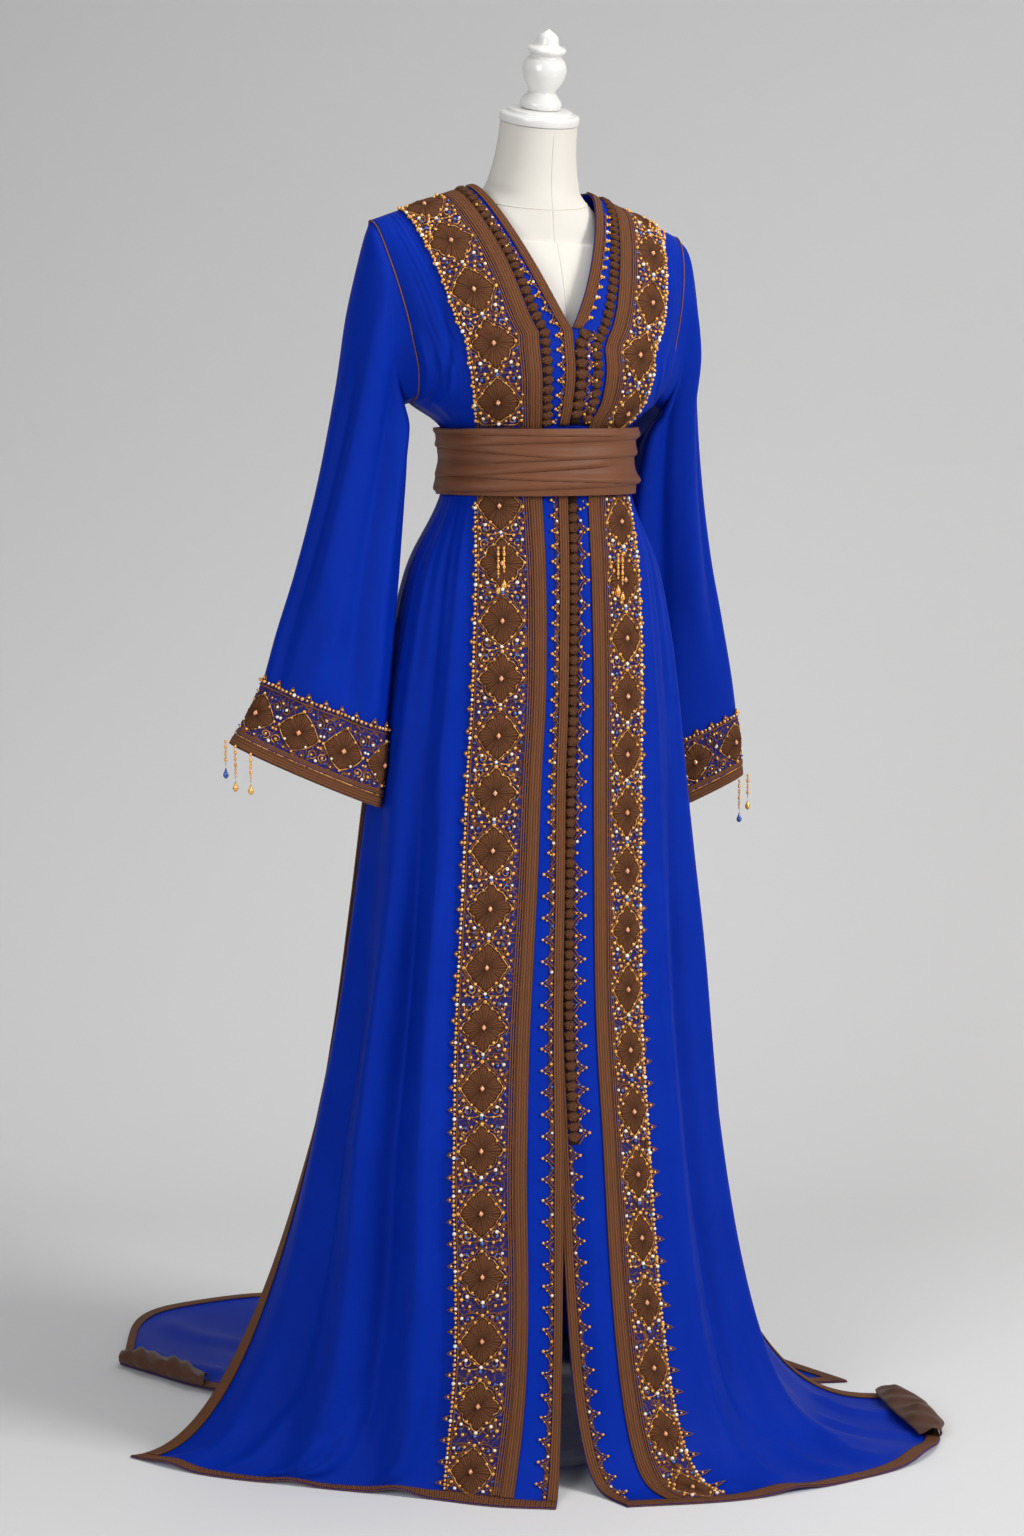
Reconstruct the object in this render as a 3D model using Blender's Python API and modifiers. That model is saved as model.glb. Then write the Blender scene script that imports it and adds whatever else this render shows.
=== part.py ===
"""Moroccan kaftan on a limbless dress form, for Blender 4.5.

Run with: blender --background --python part.py
Metres, +Z up. The wearer faces -Y, so the wearer's right side is at -X.
The origin is the centre of the stand's base, on the floor.
"""

import math

import bmesh
import bpy
import numpy as np

# ---------------------------------------------------------------- driving dimensions
CLOTH = 0.0016  # wall of the crepe
BRAID = 0.0014  # wall of a flat braid or of the embroidered band
KNOT_ROW = 0.0045  # how far a row of knotted buttons stands up
PLY = 0.0004  # air between two layers sewn on each other
SEAM = 0.0002  # half of the gap between two panels at a seam
TRIM_GAP = 0.0006  # half of the gap between two trims that meet edge to edge
FLOOR_GAP = 0.0006  # the cloth that lies on the floor is this far above it

NECK_SIDE = 0.081  # from the centre to the neckline, along the shoulder seam
SHOULDER_TIP = 0.222  # from the centre to the armhole, along the shoulder seam
NECK_Z = 1.694  # top of the shoulder seam, at the neck
SHOULDER_Z = 1.640  # end of the shoulder seam, at the armhole
SHOULDER_TILT = 0.045  # the right shoulder sits higher than the left by this slope
NECKLINE_CURVE = 0.85  # below 1 the neckline bows outwards on its way to the point
BACK_NECK_DEPTH, BACK_NECK_DROP = 0.062, 0.010  # the back neckline's curve
RIDGE_Y = 0.026  # the shoulder seam runs this far behind the waist's centre
ARMPIT_Z = 1.418
V_DEPTH = 0.70  # how far down the yoke the neckline's point is, as a share of the yoke
SLIT_Z = 0.950  # the side slits open below this height
BREAK_Z = 0.450  # below this height the skirt sweeps out onto the floor
ROUNDNESS = 2.25  # exponent of the superellipse of the body's sections
UNDERLAP = -0.012  # x of the left front's edge at the chest, under the right front's
DIP_REACH = (0.014, 0.040)  # the left front sinks fully up to the first distance from its edge
DIP_CHEST, DIP_SKIRT = 0.0026, 0.0068  # how deep it sinks at the chest and over the skirt
PLAIN_COLUMNS = 4  # columns of a front panel between the bands and the slit braid
BACK_COLUMNS = 13
HEM_BRAID = 0.020
SLIT_BRAID = 0.022
BELT_LOW, BELT_HIGH = 1.295, 1.382
BELT_LIFT = 0.0100  # the belt's inside, above the crepe's inside
BELT_WALL = 0.0030
BELT_RING = 30

# Level sections of the garment, top to bottom: half widths to the wearer's right and left,
# and depths in front and behind.
SECTIONS = (
    # z,    right, left,  front, back
    (1.720, 0.252, 0.242, 0.060, 0.078),
    (1.640, 0.240, 0.226, 0.083, 0.090),
    (1.560, 0.223, 0.208, 0.106, 0.100),
    (1.500, 0.207, 0.192, 0.122, 0.104),
    (1.450, 0.194, 0.178, 0.130, 0.103),
    (1.415, 0.173, 0.158, 0.120, 0.098),
    (1.392, 0.137, 0.130, 0.107, 0.094),
    (1.374, 0.121, 0.119, 0.0985, 0.092),
    (1.340, 0.118, 0.117, 0.097, 0.093),
    (1.295, 0.127, 0.126, 0.098, 0.102),
    (1.200, 0.172, 0.163, 0.108, 0.134),
    (1.100, 0.197, 0.184, 0.116, 0.152),
    (0.950, 0.221, 0.201, 0.126, 0.168),
    (0.740, 0.247, 0.216, 0.145, 0.190),
    (0.600, 0.267, 0.224, 0.161, 0.207),
    (0.450, 0.298, 0.236, 0.182, 0.230),
)

# Where each front's edge runs, side to side, and where the side seam is, as the section's angle.
EDGES = (
    # z,    right edge x, left edge x, seam angle, back's edge angle
    (1.430, 0.0010, UNDERLAP, 90.0, 90.0),
    (1.300, 0.0035, -0.0095, 96.0, 96.0),
    (1.100, -0.0020, -0.0150, 101.0, 101.0),
    (1.000, -0.0060, -0.0190, 103.0, 103.0),
    (0.950, -0.0090, -0.0220, 104.0, 104.0),
    (0.800, -0.0150, -0.0300, 104.5, 107.0),
    (0.600, -0.0240, -0.0395, 104.5, 113.0),
    (0.450, -0.0280, -0.0410, 104.5, 121.0),
)

# Armhole: how far from the centre the panels reach to the right and left, down the yoke.
ARMHOLE = (
    # share, right, left
    (0.00, 0.222, 0.210),
    (0.15, 0.218, 0.204),
    (0.35, 0.209, 0.194),
    (0.60, 0.196, 0.181),
    (0.85, 0.184, 0.168),
    (1.00, 0.178, 0.162),
)

# The hem on the floor. bend says how late the cloth leaves the vertical: 2 early, 6 late.
HEM_RIGHT = (
    # name,      x,      y,      bend
    ("opening", -0.091, -0.290, 3.4),
    ("band", -0.155, -0.255, 2.9),
    ("front", -0.228, -0.193, 3.0),
    ("side", -0.368, -0.082, 3.0),
    ("outer", -0.477, 0.013, 2.5),
    ("corner", -0.544, 0.115, 2.1),
)
HEM_LEFT = (
    ("opening", -0.002, -0.317, 4.8),
    ("band", 0.146, -0.348, 4.2),
    ("front", 0.315, -0.336, 4.8),
    ("side", 0.436, -0.299, 5.6),
    ("outer", 0.504, -0.232, 4.8),
    ("turned", 0.537, -0.130, 3.8),
    ("corner", 0.545, -0.030, 3.0),
)
HEM_BACK = (
    ("right_corner", -0.448, 0.519, 6.0),
    ("train_end", -0.308, 0.786, 7.0),
    ("train", -0.060, 0.735, 6.0),
    ("train_left", 0.180, 0.640, 5.5),
    ("left", 0.370, 0.450, 5.0),
    ("left_outer", 0.455, 0.220, 4.6),
    ("left_corner", 0.510, 0.050, 4.2),
)

# Bands on each front, as distances in from its edge, at stations down the front: 0 is the shoulder,
# 1 the neckline's point, 2 the belt, 3 where the skirt breaks and 4 the hem.
BANDS_RIGHT = (
    # station, braid, lace, inner, outer, band_mid, band_out
    (0.00, 0.010, 0.0125, 0.0260, 0.0440, 0.0780, 0.1100),
    (0.50, 0.012, 0.0175, 0.0320, 0.0510, 0.0860, 0.1230),
    (1.00, 0.014, 0.0290, 0.0460, 0.0660, 0.1035, 0.1410),
    (1.60, 0.014, 0.0270, 0.0415, 0.0610, 0.0960, 0.1310),
    (2.00, 0.014, 0.0230, 0.0350, 0.0530, 0.0880, 0.1240),
    (2.25, 0.014, 0.0230, 0.0310, 0.0490, 0.0885, 0.1290),
    (2.55, 0.014, 0.0260, 0.0365, 0.0545, 0.0955, 0.1365),
    (3.00, 0.014, 0.0310, 0.0500, 0.0690, 0.1085, 0.1480),
    (4.00, 0.014, 0.0320, 0.0580, 0.0780, 0.1140, 0.1500),
)
BANDS_LEFT = (
    # station, braid, lace, inner, outer, band_mid, band_out
    (0.00, 0.011, 0.0180, 0.0310, 0.0500, 0.0760, 0.1010),
    (0.50, 0.013, 0.0230, 0.0395, 0.0590, 0.0890, 0.1180),
    (1.00, 0.014, 0.0290, 0.0530, 0.0720, 0.1035, 0.1350),
    (1.25, 0.014, 0.0295, 0.0560, 0.0750, 0.1065, 0.1380),
    (1.60, 0.014, 0.0290, 0.0530, 0.0720, 0.1020, 0.1320),
    (2.00, 0.014, 0.0290, 0.0415, 0.0605, 0.0900, 0.1200),
    (2.25, 0.014, 0.0290, 0.0470, 0.0660, 0.0950, 0.1250),
    (2.55, 0.014, 0.0300, 0.0530, 0.0720, 0.0990, 0.1260),
    (3.00, 0.014, 0.0310, 0.0600, 0.0790, 0.1050, 0.1310),
    (4.00, 0.014, 0.0320, 0.0700, 0.0920, 0.1280, 0.1640),
)

# Largest folds of the skirt, on the plain cloth beside the bands: place is the share of the way
# from the band to the side seam (for the back, from one seam to the other).
FOLDS = {
    "right": (
        # place, width, height
        (0.14, 0.045, 0.009),
        (0.31, 0.050, -0.012),
        (0.46, 0.040, 0.006),
        (0.66, 0.060, -0.008),
        (0.86, 0.050, 0.006),
    ),
    "left": (
        (0.12, 0.045, 0.006),
        (0.31, 0.050, -0.012),
        (0.52, 0.055, 0.009),
        (0.78, 0.055, -0.008),
    ),
    "back": (
        (0.07, 0.050, 0.008),
        (0.19, 0.045, -0.009),
        (0.32, 0.050, 0.012),
        (0.46, 0.045, -0.010),
        (0.57, 0.045, 0.011),
        (0.70, 0.050, -0.010),
        (0.82, 0.045, 0.010),
        (0.93, 0.040, -0.007),
    ),
}
FOLD_TOP, FOLD_FULL = 1.22, 0.55  # the folds start and are fully grown at these heights

# Rings of the sleeves: centre, half width and depth, and the way the width points.
SLEEVE_RIGHT = (
    # out,   back,  z,     width,  depth, turn, rise
    (0.2160, 0.008, 1.514, 0.1080, 0.049, 0.0, 79.0),
    (0.2220, 0.013, 1.460, 0.0800, 0.050, 4.0, 64.0),
    (0.2265, 0.018, 1.392, 0.0580, 0.050, 9.0, 37.0),
    (0.2425, 0.018, 1.285, 0.0590, 0.047, 13.0, 19.0),
    (0.2630, 0.014, 1.178, 0.0680, 0.045, 16.0, 18.0),
    (0.2820, 0.011, 1.088, 0.0790, 0.042, 17.0, 21.0),
    (0.3010, 0.009, 0.995, 0.0900, 0.040, 17.0, 23.0),
    (0.3250, 0.005, 0.930, 0.1050, 0.038, 16.0, 24.0),
)
SLEEVE_LEFT = (
    (0.2030, 0.012, 1.506, 0.1030, 0.049, 0.0, 79.0),
    (0.2090, 0.028, 1.444, 0.0740, 0.050, -3.0, 62.0),
    (0.2060, 0.050, 1.384, 0.0580, 0.050, -6.0, 36.0),
    (0.2150, 0.082, 1.280, 0.0650, 0.047, -9.0, 19.0),
    (0.2290, 0.106, 1.172, 0.0760, 0.045, -12.0, 18.0),
    (0.2430, 0.122, 1.082, 0.0870, 0.042, -14.0, 20.0),
    (0.2570, 0.134, 0.975, 0.0980, 0.040, -16.0, 22.0),
    (0.2680, 0.141, 0.846, 0.1060, 0.038, -17.0, 24.0),
)
SLEEVE_RING = 16
SLEEVE_ROWS = (0, 0.6, 1, 1.6, 2, 3, 4, 5, 6)
CUFF_BAND, CUFF_BRAID = 0.095, 0.017
CUFF_BACK_DROP = 0.008  # the back of each cuff hangs lower than its front
PIPING = 0.0012  # radius of the cord along the armhole
ARMHOLE_GAP = 0.0050  # between a panel's armhole edge and the sleeve's, for both their walls

CUFF_STRINGS = {  # strings of beads: place round the cuff in steps of its ring, and length
    "right": ((0.35, 0.046), (1.15, 0.056), (1.95, 0.050)),
    "left": ((0.45, 0.046), (1.30, 0.056)),
}
STRING_RADIUS, DROP_RADIUS = 0.0022, 0.0052

# The turned-up edges, from the edge inwards: a lip that rises and falls back on the cloth.
LIP = (
    (-0.002, 0.0010), (-0.007, 0.0080), (-0.001, 0.0170),
    (0.014, 0.0210), (0.033, 0.0170), (0.048, 0.0090),
)

# Dress form: neck rings as height along the neck's leaning axis and radius.
NECK_FOOT = (0.0, 0.015, 1.688)
NECK_LEAN = 14.0  # degrees forward
NECK_RINGS = ((0.002, 0.0660), (0.020, 0.0595), (0.045, 0.0545), (0.070, 0.0520), (0.095, 0.0510))
NECK_CAP = ((0.0, 0.0), (0.0515, 0.0), (0.0530, 0.002), (0.0530, 0.010), (0.0500, 0.0125),
            (0.0430, 0.0135), (0.0420, 0.0170), (0.0, 0.0185))
FINIAL_LEAN = 17.0
FINIAL_SEAT = 0.0014  # the finial leans a little more than the cap, so it stands this far off it
FINIAL = ((0.0, 0.0), (0.0270, 0.0), (0.0275, 0.008), (0.0205, 0.017), (0.0180, 0.022),
          (0.0250, 0.034), (0.0290, 0.048), (0.0265, 0.060), (0.0200, 0.068),
          (0.0250, 0.073), (0.0245, 0.078), (0.0160, 0.082), (0.0125, 0.093), (0.0, 0.1020))
FORM_INSET = 0.0090  # the form is this far inside the crepe
FORM_FLATTER = 0.90  # and its shoulders and chest are this much shallower
FORM_RING = 26
FORM_FOOT_Z = 1.060
FORM_SHOULDER_Z = 1.622  # the form's shoulder tips
FORM_SHOULDER_DIP = 0.021  # hollow between its neck and its shoulder tips
POLE_RADIUS = 0.0150
BASE_PROFILE = ((0.0, 0.0), (0.140, 0.0), (0.140, 0.012), (0.132, 0.020), (0.050, 0.030), (0.0, 0.030))
SOCKET_PROFILE = ((0.0160, 0.0305), (0.028, 0.0305), (0.026, 0.070), (0.0160, 0.070))
FLANGE_PROFILE = ((0.0, 0.0), (0.060, 0.0), (0.060, 0.012), (0.0, 0.012))

ROWS = {  # rows of every panel: share of the yoke, height, share of the sweep (2 is the hem)
    "yoke": (0.0, 0.13, 0.30, 0.48, V_DEPTH, 0.86, 1.0),
    "drop": (1.405, 1.388, 1.374, 1.358, 1.332, 1.316, 1.298, 1.240, 1.140, 1.040, SLIT_Z, 0.800, 0.620),
    "sweep": (0.0, 0.20, 0.40, 0.60, 0.78, 0.92, 1.0, 2.0),
}

COLOURS = {
    # name: colour, roughness
    "crepe_blue": ((0.012, 0.030, 0.480), 0.55),
    "braid_brown": ((0.145, 0.062, 0.028), 0.60),
    "embroidery": ((0.120, 0.052, 0.030), 0.65),
    "satin_brown": ((0.150, 0.068, 0.040), 0.38),
    "beads": ((0.780, 0.430, 0.090), 0.25),
    "form_ivory": ((0.860, 0.820, 0.760), 0.60),
    "wood_white": ((0.880, 0.870, 0.840), 0.35),
    "stand_pale": ((0.800, 0.790, 0.770), 0.45),
}


# ---------------------------------------------------------------- numbers along tables
def smooth(keys, values, at):
    """Cubic curve through the values at the keys, read at one number or an array."""
    keys = np.asarray(keys, float)
    values = np.asarray(values, float)
    if keys[0] > keys[-1]:
        keys, values = keys[::-1], values[::-1]
    slopes = np.gradient(values, keys, axis=0)
    at = np.clip(np.asarray(at, float), keys[0], keys[-1])
    low = np.clip(np.searchsorted(keys, at, side="right") - 1, 0, len(keys) - 2)
    span = keys[low + 1] - keys[low]
    t = (at - keys[low]) / span
    if values.ndim > 1:
        t, span = t[..., None], span[..., None]
    start, end = values[low], values[low + 1]
    rise, fall = slopes[low] * span, slopes[low + 1] * span
    return (
        start * (2 * t**3 - 3 * t**2 + 1)
        + rise * (t**3 - 2 * t**2 + t)
        + end * (3 * t**2 - 2 * t**3)
        + fall * (t**3 - t**2)
    )


def ramp(low, high, at):
    """0 up to low, 1 from high on, smooth in between."""
    t = np.clip((np.asarray(at, float) - low) / (high - low), 0, 1)
    return t * t * (3 - 2 * t)


def section(z, x):
    """Half width on x's side, front depth and back depth of the garment at a height."""
    table = np.array(SECTIONS)
    right, left, front, back = np.moveaxis(smooth(table[:, 0], table[:, 1:], z), -1, 0)
    return np.where(np.asarray(x) < 0, right, left), front, back


def edge(name, z):
    """One column of EDGES at a height."""
    table = np.array(EDGES)
    return smooth(table[:, 0], table[:, ("right", "left", "seam", "back").index(name) + 1], z)


def along(points):
    """Length along a line of points, from its start."""
    steps = np.linalg.norm(np.diff(points, axis=0), axis=1)
    return np.concatenate([[0.0], np.cumsum(steps)])


def at_distances(points, distances):
    """Points of a line at the given distances from its start."""
    run = along(points)
    return np.stack([np.interp(distances, run, points[:, k]) for k in range(3)], axis=1)


# ---------------------------------------------------------------- the garment's surface
def ring(angle, z):
    """Points of the level section at angles from the centre front, in degrees, +X positive."""
    turn = np.radians(angle)
    half, front, back = section(z, np.sin(turn))
    power = 2 / ROUNDNESS
    x = half * np.sign(np.sin(turn)) * np.abs(np.sin(turn)) ** power
    deep = np.where(np.cos(turn) >= 0, front, back)
    y = -deep * np.sign(np.cos(turn)) * np.abs(np.cos(turn)) ** power
    return np.stack([x, y, np.broadcast_to(z, np.shape(x))], axis=-1)


def angle_of(x, z):
    """The section's angle in front where it is x from the centre."""
    half = float(section(z, x)[0])
    return math.degrees(math.asin(min(1.0, abs(x) / half) ** (ROUNDNESS / 2))) * (1 if x >= 0 else -1)


def yoke_point(x, share, back):
    """The yoke's surface: share 0 is the shoulder seam and 1 the armpit's level."""
    side = np.abs(x)
    slope = (NECK_Z - SHOULDER_Z) / (SHOULDER_TIP - NECK_SIDE)
    top = NECK_Z - (side - NECK_SIDE) * slope - x * SHOULDER_TILT
    start_y = np.full_like(x, RIDGE_Y + (SEAM if back else -SEAM))
    if back:  # the neckline runs round behind the neck
        inside = np.clip(1 - (side / NECK_SIDE) ** 2, 0, 1)
        top = np.where(side < NECK_SIDE, NECK_Z - BACK_NECK_DROP * inside - x * SHOULDER_TILT, top)
        start_y = start_y + BACK_NECK_DEPTH * np.sqrt(inside)
    z = top * (1 - share) + ARMPIT_Z * share
    half, front, behind = section(z, x)
    bulge = np.clip(1 - (side / half) ** ROUNDNESS, 0, 1) ** (1 / ROUNDNESS)
    y = bulge * (behind if back else -front)
    round_over = math.sqrt(1 - (1 - min(share / 0.6, 1.0)) ** 2)
    return np.stack([x, start_y * (1 - round_over) + y * round_over, z], axis=-1)


def armhole_x(share, side):
    """How far out the panels reach on a side at this share of the yoke."""
    table = np.array(ARMHOLE)
    reach = float(smooth(table[:, 0], table[:, 1 if side == "right" else 2], share))
    half = section(SHOULDER_Z * (1 - share) + ARMPIT_Z * share, -1 if side == "right" else 1)[0]
    return min(reach, float(half) * 0.9999)  # at the armpit it ends on the side of the body


def neckline_x(share, stop):
    """The neckline's distance from the centre; it runs on past the point and stops at stop."""
    left = 1 - share / V_DEPTH
    return max(NECK_SIDE * math.copysign(abs(left) ** NECKLINE_CURVE, left), stop)


def hem_point(table, share):
    """Hem position and bend at a share of the hem's length."""
    rows = np.array([row[1:] for row in table])
    line = np.column_stack([rows[:, :2], np.zeros(len(rows))])
    run = along(line)
    found = smooth(run / run[-1], rows, share)
    return found[..., :2], found[..., 2]


def sweep_row(start, table, step):
    """From the skirt's break out to the hem. Step 1 is the hem braid's inner edge, 2 the hem."""
    run = along(start)
    target, bend = hem_point(table, run / run[-1])
    reach = np.linalg.norm(target - start[:, :2], axis=1)
    last = 1 - HEM_BRAID / reach
    u = step * last if step <= 1 else last + (step - 1) * (1 - last)
    flat = start[:, :2] + (target - start[:, :2]) * np.asarray(u)[:, None]
    z = (BREAK_Z - FLOOR_GAP) * (1 - u) ** bend + FLOOR_GAP
    return np.column_stack([flat, z])


def front_row(side, stage, value):
    """A row of one front, from its edge to the armhole or side seam, as a fine line."""
    sign = -1 if side == "right" else 1
    q = np.linspace(0, 1, 241)
    if stage == "yoke":
        first = neckline_x(value, 0.0 if side == "right" else UNDERLAP)
        x = first + (armhole_x(value, side) - first) * np.sin(q * math.pi / 2)
        return yoke_point(x * sign, value, back=False)
    z = value if stage == "drop" else BREAK_Z
    start = angle_of(sign * float(edge(side, z)), z)
    gap = math.degrees(SEAM / 0.2)
    line = ring(sign * (start + (float(edge("seam", z)) - gap - start) * q), z)
    if stage == "sweep":
        line = sweep_row(line, HEM_RIGHT if side == "right" else HEM_LEFT, value)
    return line


def back_row(stage, value):
    """A row of the back, from the wearer's right to the left, as a fine line."""
    q = np.linspace(-1, 1, 481)
    if stage == "yoke":
        reach = np.where(q < 0, armhole_x(value, "right"), armhole_x(value, "left"))
        return yoke_point(reach * np.sin(q * math.pi / 2), value, back=True)
    z = value if stage == "drop" else BREAK_Z
    gap = math.degrees(SEAM / 0.2)
    first = float(edge("back", z)) + gap
    line = ring(180 - q * (180 - first), z)
    if stage == "sweep":
        line = sweep_row(line, HEM_BACK, value)
    return line


def station_of(stage, value):
    """Where a row is between the stations of the bands' tables."""
    if stage == "yoke":
        return min(value / V_DEPTH, 1.0) + max(0.0, value - V_DEPTH) / (1 - V_DEPTH) * 0.6
    if stage == "drop":
        above = (ARMPIT_Z - value) / (ARMPIT_Z - BELT_HIGH) * 0.4 + 1.6
        below = 2 + (BELT_LOW - value) / (BELT_LOW - BREAK_Z)
        return above if value > BELT_HIGH else max(2.0, below)
    return 3 + min(value, 2.0) / 2


def fold_height(side, share, z):
    """How far the skirt's largest folds lift or sink the cloth."""
    grown = 1 - ramp(FOLD_FULL, FOLD_TOP, z)
    floor = ramp(0.0, 0.12, z)
    total = np.zeros_like(share)
    for place, width, height in FOLDS[side]:
        shape = np.exp(-(((share - place) / width) ** 2) / 2)
        total += shape * (height * floor + max(height, 0) * (1 - floor))
    return total * grown


def dip(side, distance, z):
    """How far the left front's edge sinks to pass under the right one's."""
    if side == "right":
        return np.zeros_like(distance)
    near = 1 - ramp(*DIP_REACH, distance)
    deep = DIP_CHEST + (DIP_SKIRT - DIP_CHEST) * (1 - ramp(1.318, 1.330, z))
    return -deep * near * ramp(0.02, 0.14, z) * (1 - ramp(1.530, 1.560, z))


def outward(points, flip):
    """Unit normals of a grid of points. flip turns them round."""
    down = np.gradient(points, axis=0)
    across = np.gradient(points, axis=1)
    n = np.cross(down, across)
    n /= np.linalg.norm(n, axis=2, keepdims=True)
    return -n if flip else n


def front_panel(side):
    """Grid of points of one front: rows down, columns out from its edge."""
    bands = np.array(BANDS_RIGHT if side == "right" else BANDS_LEFT)
    rows, shares, heights = [], [], []
    for stage, values in ROWS.items():
        for value in values:
            line = front_row(side, stage, value)
            total = along(line)[-1]
            fixed = smooth(bands[:, 0], bands[:, 1:], station_of(stage, value))
            last = total - SLIT_BRAID
            rest = np.linspace(fixed[-1], last, PLAIN_COLUMNS + 1)[1:]
            distances = np.concatenate([[0.0], fixed, rest, [total]])
            rows.append(at_distances(line, distances))
            shares.append((distances - fixed[-1]) / (total - fixed[-1]))
            heights.append(distances)
    points, shares, heights = np.array(rows), np.array(shares), np.array(heights)
    flip = side == "right"
    lift = fold_height(side, shares, points[..., 2]) + dip(side, heights, points[..., 2])
    points = points + outward(points, flip) * lift[..., None]
    points[..., 2] = np.maximum(points[..., 2], FLOOR_GAP)
    return points, outward(points, flip)


def back_panel():
    """Grid of points of the back, from the wearer's right to the left."""
    rows, shares = [], []
    for stage, values in ROWS.items():
        for value in values:
            line = back_row(stage, value)
            total = along(line)[-1]
            inner = np.linspace(SLIT_BRAID, total - SLIT_BRAID, BACK_COLUMNS)
            distances = np.concatenate([[0.0], inner, [total]])
            rows.append(at_distances(line, distances))
            shares.append(distances / total)
    points, shares = np.array(rows), np.array(shares)
    lift = fold_height("back", shares, points[..., 2])
    points = points + outward(points, True) * lift[..., None]
    points[..., 2] = np.maximum(points[..., 2], FLOOR_GAP)
    return points, outward(points, True)


# ---------------------------------------------------------------- making the objects
def clear_scene():
    for obj in list(bpy.data.objects):
        bpy.data.objects.remove(obj)


def make_materials():
    made = {}
    for name, (colour, roughness) in COLOURS.items():
        material = bpy.data.materials.new(name)
        material.use_nodes = True
        shader = material.node_tree.nodes["Principled BSDF"]
        shader.inputs["Base Color"].default_value = (*colour, 1)
        shader.inputs["Roughness"].default_value = roughness
        made[name] = material
    return made


def add_object(name, mesh, material):
    mesh.materials.append(MATERIALS[material])
    obj = bpy.data.objects.new(name, mesh)
    KAFTAN.objects.link(obj)
    return obj


def solidify(obj, thickness):
    wall = obj.modifiers.new("wall", "SOLIDIFY")
    wall.thickness = thickness
    wall.offset = 1
    return obj


def inset(points, margin=TRIM_GAP):
    """The grid with its outer edges drawn in, so that neighbours don't touch."""
    drawn = points.copy()
    for axis in (0, 1):
        moved = np.moveaxis(drawn, axis, 0)
        for end, inner in ((0, 1), (-1, -2)):
            step = moved[inner] - moved[end]
            moved[end] += step * (margin / np.linalg.norm(step, axis=-1, keepdims=True))
    return drawn


def sheet(name, points, flip, thickness, material, closed=False):
    """A wall of cloth from a grid of points: a loft of its rows, thickened outwards."""
    count, width = points.shape[:2]
    faces = []
    for row in range(count - 1):
        for col in range(width if closed else width - 1):
            after = (col + 1) % width
            here, below = row * width, (row + 1) * width
            face = [here + col, below + col, below + after, here + after]
            faces.append(face[::-1] if flip else face)
    mesh = bpy.data.meshes.new(name)
    mesh.from_pydata(points.reshape(-1, 3).tolist(), [], faces)
    return solidify(add_object(name, mesh, material), thickness)


def applied(name, panel, flip, rows, columns, thickness, material):
    """A strip sewn on a panel, made from the panel's own points moved out."""
    points, normals = panel
    part = (points + normals * (CLOTH + PLY))[rows, columns]
    return sheet(name, inset(part), flip, thickness, material)


def turned(name, profile, material, place=(0, 0, 0), lean=0.0, steps=20):
    """A turned piece: its profile of radius and height, spun about an axis that may lean forward."""
    work = bmesh.new()
    corners = [work.verts.new((radius, 0, height)) for radius, height in profile]
    for low, high in zip(corners, corners[1:]):
        work.edges.new((low, high))
    if profile[0][0] > 0:  # a ring closes on itself
        work.edges.new((corners[-1], corners[0]))
    bmesh.ops.spin(work, geom=work.verts[:] + work.edges[:], cent=(0, 0, 0), axis=(0, 0, 1),
                   angle=2 * math.pi, steps=steps, use_duplicate=False)
    bmesh.ops.remove_doubles(work, verts=work.verts[:], dist=1e-5)
    bmesh.ops.recalc_face_normals(work, faces=work.faces[:])
    mesh = bpy.data.meshes.new(name)
    work.to_mesh(mesh)
    work.free()
    mesh.shade_smooth()
    mesh.set_sharp_from_angle(angle=math.radians(50))
    obj = add_object(name, mesh, material)
    obj.location = place
    obj.rotation_euler = (math.radians(lean), 0, 0)
    return obj


def piping(name, points, radius, material):
    """A round cord that closes on itself, along a ring of points."""
    curve = bpy.data.curves.new(name, "CURVE")
    curve.dimensions = "3D"
    curve.bevel_depth = radius
    curve.bevel_resolution = 1
    spline = curve.splines.new("POLY")
    spline.points.add(len(points) - 1)
    for spot, place in zip(spline.points, points):
        spot.co = (*place, 1)
    spline.use_cyclic_u = True
    curve.materials.append(MATERIALS[material])
    cord = bpy.data.objects.new(name, curve)
    KAFTAN.objects.link(cord)


# ---------------------------------------------------------------- the kaftan's pieces
ROW = {name: i for i, name in enumerate(
    [("yoke", v) for v in ROWS["yoke"]] + [("drop", v) for v in ROWS["drop"]]
    + [("sweep", v) for v in ROWS["sweep"]])}
POINT_ROW = ROW[("yoke", V_DEPTH)]
BELT_TOP_ROW = ROW[("drop", 1.388)]
BELT_FOOT_ROW = ROW[("drop", 1.298)]
SLIT_ROW = ROW[("drop", SLIT_Z)]
KNOT_END_ROW = ROW[("sweep", 0.0)]
HEM_ROW = ROW[("sweep", 1.0)]


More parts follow.
